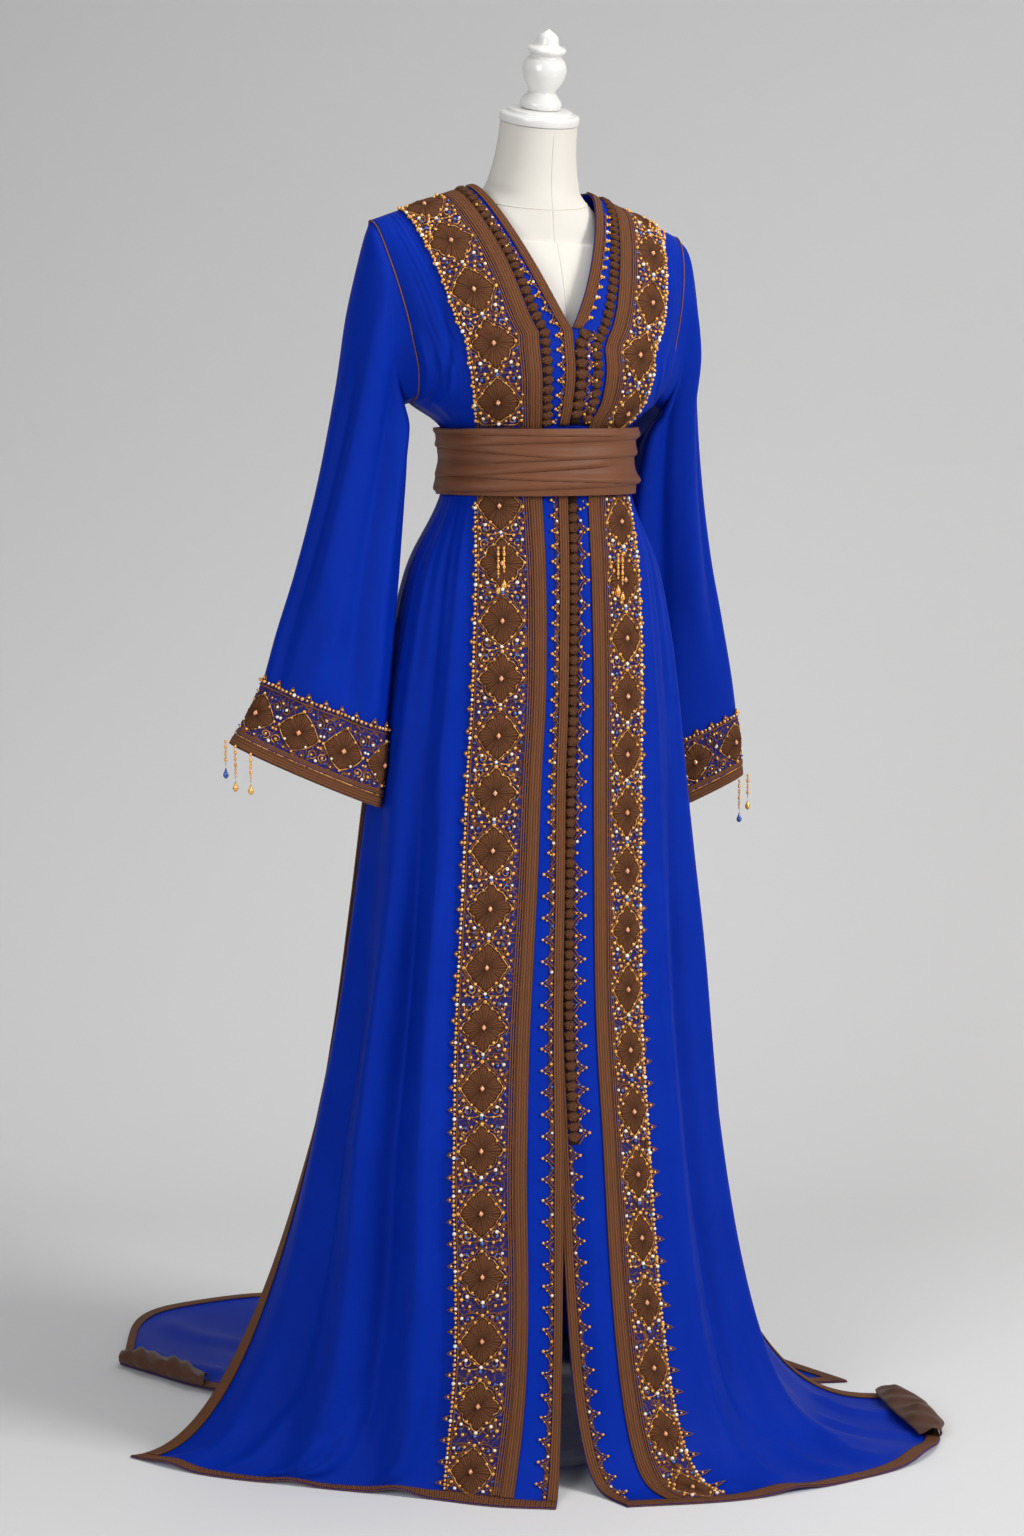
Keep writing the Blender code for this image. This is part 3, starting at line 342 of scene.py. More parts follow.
def back_row(stage, value):
    """A row of the back, from the wearer's right to the left, as a fine line."""
    q = np.linspace(-1, 1, 721)
    if stage == "yoke":
        reach = np.where(q < 0, armhole_x(value, "right"), armhole_x(value, "left"))
        return yoke_point(reach * np.sin(q * math.pi / 2), value, back=True)
    z = value if stage == "drop" else BREAK_Z
    first = float(edge("back", z)) + math.degrees(SEAM / 0.2)
    line = ring(180 - q * (180 - first), z)
    if stage == "sweep":
        line = sweep_row(line, HEM_BACK, value)
    return line


def station_of(stage, value):
    """Where a row is between the stations of BANDS."""
    if stage == "yoke":
        return min(value / V_DEPTH, 1.0) + max(0.0, value - V_DEPTH) / (1 - V_DEPTH) * 0.6
    if stage == "drop":
        above = (ARMPIT_Z - value) / (ARMPIT_Z - BELT_HIGH) * 0.4 + 1.6
        below = 2 + (BELT_LOW - value) / (BELT_LOW - BREAK_Z)
        return above if value > BELT_HIGH else max(2.0, below)
    return 3 + min(value, 2.0) / 2

# %% [markdown]
# ## Creases
# A cutter's tables give the hang of the cloth, but not the small life in it: gathers under the sash,
# long soft folds down the skirt and short breaks where it meets the floor. Each crease here is one
# row of a table, placed one by one and all uneven, because evenly spaced creases read as a machine's.

# %% Tables of creases
# Place runs from the band (or one seam) at 0 to the seam at 100. Level is 0 at the shoulder, 100 at
# the armpit, 200 where the skirt breaks and 300 at the hem. A width is in thousandths of the way
# from band to seam, and a height in millimetres.
CREASE_UNITS = (0.01, 0.01, 0.01, 0.01, 0.001, 0.001)
CREASES = {
    "right": (
        # place, level, to place, to level, width, height
        (14, 112, 20, 162, 30, 3), (33, 112, 30, 150, 24, -2.8), (52, 112, 50, 166, 28, 3),
        (74, 112, 72, 140, 22, -2.6), (90, 113, 86, 145, 22, 2.2), (12, 140, 20, 285, 34, 8),
        (27, 145, 36, 280, 36, -8.5), (44, 160, 52, 290, 32, 6), (60, 170, 68, 275, 30, -5.5),
        (80, 155, 80, 290, 38, 6), (5, 190, 5, 286, 18, -5), (10, 228, 19, 295, 18, 8),
        (22, 240, 28, 296, 18, -5), (32, 235, 46, 292, 18, 9), (44, 255, 58, 296, 18, 7),
        (62, 245, 72, 297, 20, 7.5), (77, 260, 88, 298, 16, 5), (10, 42, 55, 104, 60, -3),
        (30, 80, 45, 106, 40, 2.8), (62, 74, 60, 106, 45, -3.2), (85, 60, 80, 105, 40, 3),
    ),
    "left": (
        (10, 112, 14, 155, 26, 3), (30, 112, 32, 148, 24, -2.8), (50, 112, 46, 170, 28, 3),
        (72, 112, 70, 142, 22, -2.6), (88, 113, 84, 150, 20, 2.4), (14, 150, 16, 285, 30, 7),
        (30, 145, 33, 280, 34, -8.5), (50, 150, 54, 290, 32, 8), (76, 160, 70, 270, 34, -6),
        (7, 240, 3, 292, 18, 7), (20, 245, 16, 293, 18, 8), (36, 240, 32, 295, 20, 9),
        (50, 250, 44, 294, 16, 7), (64, 245, 66, 296, 20, 8), (82, 250, 84, 295, 20, 7),
        (30, 78, 42, 106, 40, 2.6), (60, 70, 60, 106, 45, -3), (86, 62, 80, 105, 40, 2.8),
    ),
    "back": (
        (12, 112, 10, 160, 20, 3.5), (24, 112, 25, 150, 18, -3.5), (38, 112, 36, 175, 22, 4),
        (50, 112, 51, 155, 18, -3.5), (63, 112, 64, 170, 20, 4), (77, 112, 76, 150, 18, -3.5),
        (90, 112, 91, 160, 18, 3), (15, 160, 14, 285, 26, 7), (27, 170, 26, 290, 24, -6),
        (41, 155, 39, 292, 30, 8), (52, 170, 55, 285, 26, -6), (64, 160, 67, 293, 26, 8),
        (79, 170, 80, 288, 26, 7), (6, 245, 5, 295, 14, 6), (20, 250, 17, 296, 16, 8),
        (33, 240, 30, 295, 16, 9), (47, 255, 48, 296, 18, 8), (58, 245, 60, 295, 16, 9),
        (73, 250, 73, 296, 16, 8), (87, 245, 88, 295, 16, 7), (30, 30, 36, 104, 40, -3),
        (70, 32, 64, 104, 40, -3), (50, 55, 50, 106, 35, 2.8), (16, 50, 22, 105, 30, 2.8),
        (85, 50, 79, 105, 30, 2.8),
    ),
}


def crease_lift(table, place, level, z):
    """How far the creases lift or sink the cloth. On the floor they can only rise."""
    floor = ramp(0.0, 0.10, z)
    total = 0.0004 * np.sin(31 * place + 6 * level) * np.sin(8 * level + 13 * place)
    for place_top, top, place_foot, foot, width, height in np.array(table) * CREASE_UNITS:
        t = (level - top) / (foot - top)
        wander = place_top + (place_foot - place_top) * t + 0.008 * np.sin(7 * t + 40 * width)
        fade = ramp(0.0, 0.25, t) * (1 - ramp(0.72, 1.0, t))
        across = np.exp(-(((place - wander) / width) ** 2) / 2)
        total = total + across * fade * (height * floor + max(height, 0) * (1 - floor))
    return total


print(sum(len(rows) for rows in CREASES.values()), "creases placed by hand")

# %% Large folds, overlap of the fronts and outward directions
def fold_height(side, share, z):
    """How far the skirt's largest folds lift or sink the cloth."""
    grown = 1 - ramp(FOLD_FULL, FOLD_TOP, z)
    floor = ramp(0.0, 0.12, z)
    total = np.zeros_like(share)
    for place, width, height in FOLDS[side]:
        shape = np.exp(-(((share - place) / width) ** 2) / 2)
        total += shape * (height * floor + max(height, 0) * (1 - floor))
    return total * grown


def dip(side, distance, z):
    """How far the left front's edge sinks to pass under the right one's."""
    if side == "right":
        return 0.0
    near = 1 - ramp(*DIP_REACH, distance)
    deep = DIP_CHEST + (DIP_SKIRT - DIP_CHEST) * (1 - ramp(1.318, 1.330, z))
    return -deep * near * ramp(0.02, 0.14, z) * (1 - ramp(1.530, 1.560, z))


def outward(points, flip):
    """Unit normals of a grid of points. flip turns them round."""
    n = np.cross(np.gradient(points, axis=0), np.gradient(points, axis=1))
    n /= np.maximum(np.linalg.norm(n, axis=2, keepdims=True), 1e-12)
    return -n if flip else n


# %% [markdown]
# ## Fine grids
# Every cloth surface is held as a grid: rows down the garment, columns across it. The columns of a
# front are spaced by its sewn bands, so column numbers say where a braid or a band begins and ends.

# %% Rows and columns of the fine grids
ZONE = 8  # columns in each sewn zone of a front
PLAIN, SLIT = 46, 6  # columns over the plain cloth and over the braid at the slit
YOKE_ROWS = [0, 0.0006, 0.002, 0.0045, 0.008, 0.013, 0.020, 0.029, 0.040, 0.053, 0.068, 0.085]
YOKE_ROWS += list(np.linspace(0.104, 1.0, 54))
DROP_ROWS = list(np.linspace(1.4130, 0.4550, 186))
SWEEP_ROWS = list(np.linspace(0.0, 1.0, 92)) + [1.2, 1.4, 1.6, 1.8, 2.0]
STAGES = (("yoke", YOKE_ROWS), ("drop", DROP_ROWS), ("sweep", SWEEP_ROWS))
FINE_ROWS = [(stage, value) for stage, values in STAGES for value in values]
EDGE, BRAID_END, LACE_END, INNER_START, INNER_END, BAND_MID, BAND_END = (ZONE * k for k in range(7))


def level_of(stage, value):
    """0 at the shoulder, 1 at the armpit, 2 at the break, 3 at the hem."""
    if stage == "yoke":
        return value
    if stage == "drop":
        return 1 + (ARMPIT_Z - value) / (ARMPIT_Z - BREAK_Z)
    return 2 + min(value, 1.0) * 0.97 + max(value - 1, 0) * 0.03


LEVELS = np.array([level_of(stage, value) for stage, value in FINE_ROWS])
print(len(FINE_ROWS), "rows in a front and in the back")


def nearest_row(stage, value):
    """Number of the fine row that is closest to a value of one stage."""
    rows = [(abs(v - value), k) for k, (name, v) in enumerate(FINE_ROWS) if name == stage]
    return min(rows)[1]


POINT_ROW = nearest_row("yoke", V_DEPTH)
BELT_TOP_ROW, BELT_FOOT_ROW = nearest_row("drop", 1.388), nearest_row("drop", 1.298)
SLIT_ROW, HEM_ROW = nearest_row("drop", SLIT_Z), nearest_row("sweep", 1.0)
KNOT_END_ROW = nearest_row("sweep", 0.0)
LAST_ROW = len(FINE_ROWS) - 1


# %% The grids of the fronts and of the back
def make_grid(points, flip):
    """A grid of points with its outward directions, its downward directions and its lengths."""
    points[..., 2] = np.maximum(points[..., 2], FLOOR_GAP)
    down = np.gradient(points, axis=0)
    down /= np.maximum(np.linalg.norm(down, axis=2, keepdims=True), 1e-9)
    zero = np.zeros((1, points.shape[1]))
    run = np.concatenate([zero, np.cumsum(np.linalg.norm(np.diff(points, axis=0), axis=2), axis=0)])
    zero = np.zeros((points.shape[0], 1))
    wide = np.concatenate([zero, np.cumsum(np.linalg.norm(np.diff(points, axis=1), axis=2), axis=1)], axis=1)
    out = outward(points, flip)
    return {"points": points, "out": out, "down": down, "run": run, "wide": wide, "flip": flip}


def front_grid(side):
    """The fine grid of one front."""
    bands = np.array(BANDS[side])
    rows, shares, distances = [], [], []
    for stage, value in FINE_ROWS:
        line = front_row(side, stage, value)
        total = along(line)[-1]
        fixed = smooth(bands[:, 0], bands[:, 1:], station_of(stage, value))
        stops = np.concatenate([[0.0], fixed])
        sewn = np.interp(np.arange(6 * ZONE), np.arange(7) * ZONE, stops)
        plain = np.linspace(fixed[-1], total - SLIT_BRAID, PLAIN + 1)
        slit = np.linspace(total - SLIT_BRAID, total, SLIT + 1)[1:]
        d = np.concatenate([sewn, plain, slit])
        rows.append(at_distances(line, d))
        shares.append((d - fixed[-1]) / (total - fixed[-1]))
        distances.append(d)
    points, shares, distances = np.array(rows), np.array(shares), np.array(distances)
    z = points[..., 2]
    lift = fold_height(side, shares, z) + dip(side, distances, z)
    lift += crease_lift(CREASES[side], shares, LEVELS[:, None], z) * ramp(-0.10, 0.06, shares)
    points = points + outward(points, side == "right") * lift[..., None]
    return make_grid(points, side == "right")


def back_grid():
    """The fine grid of the back, from the wearer's right to the left."""
    rows, shares = [], []
    for stage, value in FINE_ROWS:
        line = back_row(stage, value)
        total = along(line)[-1]
        inner = np.linspace(SLIT_BRAID, total - SLIT_BRAID, 97)
        ends = np.linspace(0, SLIT_BRAID, SLIT + 1)
        d = np.concatenate([ends[:-1], inner, (total - ends[::-1])[1:]])
        rows.append(at_distances(line, d))
        shares.append(d / total)
    points, shares = np.array(rows), np.array(shares)
    z = points[..., 2]
    lift = fold_height("back", shares, z)
    lift += crease_lift(CREASES["back"], shares, LEVELS[:, None], z)
    points = points + outward(points, True) * lift[..., None]
    return make_grid(points, True)


GRIDS = {"right": front_grid("right"), "left": front_grid("left"), "back": back_grid()}
print("grids:", {name: grid["points"].shape[:2] for name, grid in GRIDS.items()})


# %% Reading a grid between its points
def on_grid(grid, key, row, col):
    """A value of the grid at fractional rows and columns."""
    values = grid[key]
    row = np.clip(np.asarray(row, float), 0, values.shape[0] - 1.001)
    col = np.clip(np.asarray(col, float), 0, values.shape[1] - 1.001)
    r, c = row.astype(int), col.astype(int)
    t, u = (row - r), (col - c)
    if values.ndim == 3:
        t, u = t[..., None], u[..., None]
    top = values[r, c] * (1 - u) + values[r, c + 1] * u
    low = values[r + 1, c] * (1 - u) + values[r + 1, c + 1] * u
    return top * (1 - t) + low * t


def lifted(grid, row, col, height):
    """Points that lie height above the cloth at fractional rows and columns."""
    height = np.asarray(height, float)
    return on_grid(grid, "points", row, col) + on_grid(grid, "out", row, col) * height[..., None]


SEWN = CLOTH + PLY  # the underside of what is sewn on a panel
TOP = SEWN + BRAID  # the face of a band or braid


# %% [markdown]
# ## Sleeves
# A kaftan's sleeve is one wide piece, folded and closed by a seam under the arm. It is a tube that
# hangs from the armhole and opens towards the cuff, so a table of rings is its natural description.

# %% Sleeve grids
SLEEVE_RING, SLEEVE_STEPS = 96, 150
SLEEVE_CREASES = {
    # place round the ring (0 top, 25 front, 50 underarm, 75 back), level 0 armhole to 100 cuff
    "right": (
        (20, 8, 17, 78, 30, 8.5), (29, 10, 30, 95, 22, -9.5), (37, 15, 38, 95, 24, 9),
        (12, 25, 9, 97, 26, -7), (44, 10, 45, 60, 20, -5.5), (23, 62, 20, 99, 20, 5),
        (62, 10, 62, 95, 35, 7), (72, 15, 73, 90, 30, -6), (82, 12, 83, 97, 32, 7),
        (91, 25, 90, 80, 26, -4.5),
    ),
    "left": (
        (18, 6, 15, 85, 28, 8.5), (27, 12, 27, 95, 22, -9), (35, 14, 36, 97, 24, 8.5),
        (9, 25, 8, 90, 26, -6.5), (43, 10, 44, 70, 22, -4.5), (62, 10, 62, 95, 35, 7),
        (72, 15, 73, 90, 30, -6), (83, 12, 82, 97, 32, 7), (92, 25, 91, 80, 26, -4.5),
    ),
}


def sleeve_rings(side):
    """Rings of one sleeve, armhole first. Round a ring: top, front, underarm, back."""
    sign, half = (-1 if side == "right" else 1), SLEEVE_RING // 2
    shares = (1 - np.cos(np.linspace(0, math.pi, half + 1))) / 2
    hole = []
    for part, back in ((shares, False), (shares[-2:0:-1], True)):
        hole += [yoke_point(np.array([sign * armhole_x(s, side)]), float(s), back=back)[0] for s in part]
    rings = [np.array(hole) + np.array([sign * ARMHOLE_GAP, 0, 0.0])]
    turn = np.linspace(0, 2 * math.pi, SLEEVE_RING, endpoint=False)
    for out, behind, z, width, depth, swing, rise in SLEEVES[side]:
        swing, rise = math.radians(swing), math.radians(rise)
        level = math.cos(rise)
        wide = np.array([sign * math.cos(swing) * level, math.sin(swing) * level, math.sin(rise)])
        deep = np.array([sign * math.sin(swing), -math.cos(swing), 0])
        centre = np.array([sign * out, behind, z])
        rings.append(centre + np.outer(np.cos(turn), wide) * width + np.outer(np.sin(turn), deep) * depth)
    rings[-1][:, 2] -= np.clip(-np.sin(turn), 0, 1) * CUFF_BACK_DROP
    return np.array(rings)


def sleeve_grid(side):
    """The fine grid of a sleeve. Its last column repeats the first, so that it can be read all round."""
    rings = sleeve_rings(side)
    last = len(rings) - 1
    steps = np.linspace(0, last, SLEEVE_STEPS)
    points = smooth(range(len(rings)), rings.reshape(len(rings), -1), steps).reshape(SLEEVE_STEPS, -1, 3)
    flip = side == "left"
    around = np.concatenate([points[:, -1:], points, points[:, :1]], axis=1)
    out = outward(around, flip)[:, 1:-1]
    place = np.linspace(0, 1, SLEEVE_RING, endpoint=False)[None, :]
    level = (steps / last)[:, None]
    lift = crease_lift(SLEEVE_CREASES[side], place, level, np.ones_like(points[..., 2]))
    lift *= ramp(0.02, 0.14, level) * (1 - 0.75 * ramp(0.80, 0.90, level))
    points = points + out * lift[..., None]
    points = np.concatenate([points, points[:, :1]], axis=1)
    grid = make_grid(points, flip)
    grid["out"][:, 0] = grid["out"][:, -1] = (grid["out"][:, 0] + grid["out"][:, -1]) / 2
    grid["reach"] = float(np.linalg.norm(rings[-1].mean(0) - rings[-2].mean(0)))
    grid["last"] = last
    return grid


for side in ("right", "left"):
    GRIDS["sleeve_" + side] = sleeve_grid(side)
print("sleeve grid:", GRIDS["sleeve_right"]["points"].shape[:2])

# %% [markdown]
# ## Materials
# Each finish is a small node tree. Cloth patterns follow the piece's own UV map, which is in metres
# across and along the cloth, so a weave, a cord or a plait has its true size wherever it is sewn.

# %% A finish, and sums written as sums
class Wire:
    """A number in a finish's node tree. Each sum on it adds a Math node."""

    def __init__(self, finish, socket):
        self.finish, self.socket = finish, socket

    def sum(self, operation, other=0.0):
        return self.finish.maths(operation, self, other)

    def __add__(self, other):
        return self.sum("ADD", other)

    def __sub__(self, other):
        return self.sum("SUBTRACT", other)

    def __mul__(self, other):
        return self.sum("MULTIPLY", other)

    def sine(self):
        return self.sum("SINE")

    def size(self):
        return self.sum("ABSOLUTE")


class Finish:
    """A Principled material, and the textures that its colour and relief are made of."""

    def __init__(self, name, colour, roughness, **sockets):
        """Other sockets of the shader are given by name, with underscores for spaces."""
        self.material = bpy.data.materials.new(name)
        self.material.use_nodes = True
        self.tree = self.material.node_tree
        self.shader = self.tree.nodes["Principled BSDF"]
        for socket, value in {"Base_Color": (*colour, 1), "Roughness": roughness, **sockets}.items():
            self.shader.inputs[socket.replace("_", " ")].default_value = value

    def node(self, kind, settings=(), **inputs):
        """Adds a node. An input, named or numbered, is given a value or a wire to link from."""
        made = self.tree.nodes.new("ShaderNode" + kind)
        for key, value in dict(settings).items():
            setattr(made, key, value)
        for key, value in inputs.items():
            socket = made.inputs[int(key[1:]) if key[1:].isdigit() else key.replace("_", " ")]
            if isinstance(value, Wire):
                self.tree.links.new(value.socket, socket)
            else:
                socket.default_value = value
        return [Wire(self, output) for output in made.outputs]

    def maths(self, operation, first, second=0.0):
        return self.node("Math", {"operation": operation}, n0=first, n1=second)[0]

    def object_place(self):
        """A place in the piece's own space, in metres."""
        return self.node("TexCoord")[3]

    def cloth_place(self):
        """The UV map's two numbers, in metres across and along the cloth, and the vector itself."""
        uv = self.node("TexCoord")[2]
        across, down, _ = self.node("SeparateXYZ", (), Vector=uv)
        return across, down, uv

    def mapped(self, vector, **settings):
        return self.node("Mapping", (), Vector=vector, **settings)[0]

    def noise(self, vector, scale, detail=3.0):
        """A noise factor from 0 to 1."""
        return self.node("TexNoise", (), Vector=vector, Scale=scale, Detail=detail, Roughness=0.5)[0]

    def bands(self, vector, direction, scale, distortion):
        """Waves across one direction."""
        settings = {"bands_direction": direction}
        return self.node("TexWave", settings, Vector=vector, Scale=scale, Distortion=distortion)[0]

    def spread(self, value, low, high, first=0.0, last=1.0):
        """A value from low to high, read from first to last."""
        return self.node("MapRange", (), Value=value, n1=low, n2=high, n3=first, n4=last)[0]

    def mix(self, factor, first, second):
        """A mix of two colours by a factor."""
        first, second = (c if isinstance(c, Wire) else (*c, 1) for c in (first, second))
        return self.node("Mix", {"data_type": "RGBA"}, n0=factor, n6=first, n7=second)[2]

    def done(self, colour, relief=None, distance=0.0004, strength=1.0):
        """Links a colour and a relief to the shader, and gives the material."""
        self.tree.links.new(colour.socket, self.shader.inputs["Base Color"])
        if relief is not None:
            bump = self.node("Bump", (), Strength=strength, Distance=distance, Height=relief)[0]
            self.tree.links.new(bump.socket, self.shader.inputs["Normal"])
        return self.material


def grained(name, colour, roughness, dark, light, grain, relief=None, stretch=None, **sockets):
    """A finish whose colour, and relief if it has one, follow one noise of a scale and a detail."""
    made = Finish(name, colour, roughness, **sockets)
    place = made.mapped(made.cloth_place()[2], Scale=stretch) if stretch else made.object_place()
    noise = made.noise(place, *grain)
    return made.done(made.mix(noise, dark, light), *((noise, *relief) if relief else ()))


# %% [markdown]
# ### Crepe
# Crepe is woven from hard-twisted yarn, so its face is pebbled and takes no shine. Two crossed waves
# make the yarns, and a fine noise breaks them up.

# %% Blue crepe
crepe = Finish("crepe_blue", (0.001, 0.018, 0.30), 0.50, Specular_IOR_Level=0.045)
across, down, uv = crepe.cloth_place()
warp = (across * (2 * math.pi / 0.0011)).sine()
weft = (down * (2 * math.pi / 0.0013)).sine()
weave = warp * weft + crepe.noise(uv, 900.0, 2.0) * 1.6
cloudy = crepe.noise(uv, 45.0)
tone = crepe.noise(uv, 9.0, 4.0) * 0.7 + cloudy * 0.3
blue = crepe.mix(tone, (0.0006, 0.016, 0.26), (0.0016, 0.027, 0.37))
CREPE = crepe.done(blue, weave + cloudy * 6.0, 0.00010, 0.45)

# %% [markdown]
# ### Silk braid and satin
# The braid (sfifa) is a flat plait: lengthwise cords, each a row of slanted stitches that leans the
# other way from the cord beside it. The lean is made by adding the distance across to the one along.

# %% Brown braid, and the satin of sash and facings
CORD_PITCH, STITCH_PITCH = 0.0034, 0.0030
braid = Finish("braid_brown", (0.262, 0.096, 0.036), 0.66, Specular_IOR_Level=0.22)
across, down, uv = braid.cloth_place()
cord = across.sum("DIVIDE", CORD_PITCH)
leans = cord.sum("FLOOR").sum("MODULO", 2.0) * 2.0 - 1.0
inside = cord.sum("FRACT") - 0.5
round_top = braid.maths("SUBTRACT", 1.0, inside * inside * 4.0)
stitch = ((down.sum("DIVIDE", STITCH_PITCH) + inside * leans * 2.2) * math.pi).sine().size()
relief = round_top + stitch * 0.55
mottle = braid.noise(uv, 60.0)
# Where the cords and stitches dip, the colour is painted near-black: a painted shade in the grooves. The
# noise mixed in after it is random tone.
body = braid.mix(relief * 0.64, (0.010, 0.003, 0.002), (0.262, 0.096, 0.036))
groove_shade_and_fade = braid.mix(mottle * 0.4, body, braid.mix(mottle, body, (0.072, 0.023, 0.009)))
BRAID_BROWN = braid.done(groove_shade_and_fade, relief, 0.0013)
satin = Finish("satin_brown", (0.125, 0.053, 0.027), 0.50, Specular_IOR_Level=0.20, Anisotropic=0.35)
uv = satin.cloth_place()[2]
threads = satin.noise(satin.mapped(uv, Scale=(30.0, 600.0, 1.0)), 1.0)
brown = satin.mix(satin.noise(uv, 14.0), (0.120, 0.044, 0.021), (0.190, 0.074, 0.035))
SATIN = satin.done(brown, threads, 0.00012, 0.5)
# The facings are the same satin painted much darker than the sash: a painted shade for where they lie, under
# the garment on the floor and inside the cuffs. The noise is random tone.
FACING_PAINTED_SHADE = grained("facing_brown", (0.075, 0.030, 0.017), 0.50, (0.050, 0.019, 0.011), (0.105, 0.044, 0.025),
                 (1.0, 3.0), (0.0002, 1.0), (30.0, 500.0, 1.0), Specular_IOR_Level=0.25)
print("cloth materials:", CREPE.name, BRAID_BROWN.name, SATIN.name, FACING_PAINTED_SHADE.name)

# %% [markdown]
# ### Net, raised appliqué, gold cord and beads
# The wide band is a dark net over the blue cloth. Gathered brown patches stand on it, outlined with
# gold cord, and beads of glass in gold, pearl, blue and copper are sewn between them.

# %% Net ground, with brown threads curled on it
NET_PITCH = 0.0021
net = Finish("net_ground", (0.03, 0.02, 0.03), 0.75, Specular_IOR_Level=0.12)
uv = net.cloth_place()[2]
slanted = net.node("SeparateXYZ", (), Vector=net.mapped(uv, Rotation=(0, 0, math.radians(45))))
one_way, other_way = ((slanted[k] * (math.pi / NET_PITCH)).sine().size() for k in (0, 1))
thread = one_way.sum("MAXIMUM", other_way).sum("POWER", 5.0)
worked = net.node("Clamp", (), Value=(net.noise(uv, 55.0, 2.0) - 0.52) * 6.0)[0]
under = net.mix(worked, (0.002, 0.018, 0.20), (0.060, 0.022, 0.010))
meshed = net.mix(thread * 0.6, under, (0.070, 0.027, 0.012))
curl = net.spread((net.noise(uv, 85.0, 1.0) - 0.5).size(), 0.020, 0.036, 1.0, 0.0)
NET = net.done(net.mix(curl, meshed, (0.180, 0.066, 0.024)), curl.sum("MAXIMUM", thread * 0.5), 0.0009, 0.9)

# %% Gathered appliqué: its UV map is the turn round the patch and the distance from its middle
PLEATS = 34
gathered = Finish("applique_brown", (0.10, 0.040, 0.020), 0.80, Specular_IOR_Level=0.14)
turn, middle, uv = gathered.cloth_place()
pleats = (turn * (2 * math.pi * PLEATS)).sine()
jitter = gathered.noise(gathered.mapped(uv, Scale=(60.0, 3.0, 1.0)), 1.0)
fibres = gathered.noise(gathered.object_place(), 1400.0, 2.0)
# Part of the colour follows the pleats: their troughs are painted darker and their ridges lighter, a painted
# shade of the gathers. The jitter and fibres are random tone.
tone = pleats * 0.16 + jitter * 0.8 + fibres * 0.4 - 0.12
brown = gathered.mix(tone, (0.034, 0.011, 0.005), (0.215, 0.082, 0.034))
GATHERED = gathered.done(brown, pleats * 0.5 + jitter * 2.0, 0.0014)

# %% Cords and beads
gilt = Finish("gold_cord", (0.52, 0.24, 0.060), 0.42, Metallic=0.25)
place = gilt.object_place()
twist = gilt.noise(place, 900.0, 2.0)
# The noise splits the gold into bright and dark dashes along the cord: painted glints and painted shade of
# its twisted thread.
mottle = gilt.spread(gilt.noise(place, 170.0, 2.0), 0.42, 0.60)
gold = gilt.mix(mottle, (0.17, 0.055, 0.014), (0.85, 0.40, 0.085))
GOLD_CORD = gilt.done(gilt.mix(twist * 0.5, gold, (0.12, 0.04, 0.012)), twist, 0.0004, 0.7)
SILK_CORD = grained("silk_cord", (0.17, 0.060, 0.024), 0.60, (0.075, 0.026, 0.012), (0.30, 0.115, 0.045),
                    (800.0, 2.0), (0.0005, 0.8), Specular_IOR_Level=0.25)
BEAD_GOLD, BEAD_PEARL, BEAD_BLUE, BEAD_COPPER = (
    grained(name, light, roughness, dark, light, (260.0, 1.0), Metallic=metal, Coat_Weight=0.6,
            Coat_Roughness=0.08)
    for name, dark, light, metal, roughness in (
        ("beads", (0.62, 0.19, 0.02), (1.0, 0.60, 0.13), 0.30, 0.18),
        ("bead_pearl", (0.80, 0.66, 0.42), (0.95, 0.93, 0.86), 0.10, 0.20),
        ("bead_blue", (0.010, 0.035, 0.20), (0.05, 0.16, 0.60), 0.10, 0.15),
        ("bead_copper", (0.80, 0.24, 0.09), (1.0, 0.52, 0.28), 0.25, 0.22)))
print(len(bpy.data.materials), "materials so far")

# %% [markdown]
# ### Knots, form and stand
# A knotted button is wound from the braid's own cord, so it takes crossing strands. The form's cover
# is a fine ivory knit, its cap and finial are glossy white paint and its stand is off-white steel.

# %% Knots and their tape
knot = Finish("knot_silk", (0.16, 0.068, 0.030), 0.62, Specular_IOR_Level=0.20)
place = knot.object_place()
strands = knot.bands(place, "DIAGONAL", 260.0, 3.0)
# The colour follows the strands: it is painted darker in the grooves between them, a painted shade. The noise
# is random tone.
tone = strands * 0.6 + knot.noise(place, 500.0, 2.0) * 0.4
KNOT = knot.done(knot.mix(tone, (0.026, 0.008, 0.004), (0.255, 0.098, 0.040)), strands, 0.0012)
# The tape under the knots is painted near-black so that the gaps between them read dark: a painted shadow
# between the knots.
TAPE_PAINTED_SHADE = grained("knot_tape", (0.022, 0.008, 0.004), 0.80, (0.010, 0.004, 0.003), (0.055, 0.020, 0.009),
               (700.0, 2.0), (0.0006, 1.0), Specular_IOR_Level=0.12)

# %% Ivory knit, white gloss paint, painted steel
knit = Finish("form_ivory", (0.86, 0.82, 0.75), 0.70, Specular_IOR_Level=0.20)
place = knit.object_place()
loops = knit.bands(place, "Z", 420.0, 1.2) + knit.noise(place, 900.0, 2.0)
ivory = knit.mix(knit.noise(place, 6.0, 2.0), (0.66, 0.625, 0.565), (0.74, 0.71, 0.655))
KNIT = knit.done(ivory, loops, 0.00012, 0.5)
PAINT = grained("wood_white", (0.86, 0.85, 0.82), 0.26, (0.72, 0.71, 0.685), (0.80, 0.79, 0.765),
                (60.0, 3.0), (0.0002, 0.25), Coat_Weight=0.5, Coat_Roughness=0.12)
STEEL = grained("stand_pale", (0.80, 0.79, 0.77), 0.45, (0.72, 0.71, 0.69), (0.84, 0.83, 0.81),
                (300.0, 3.0), (0.0002, 0.3))
print(len(bpy.data.materials), "materials in all")

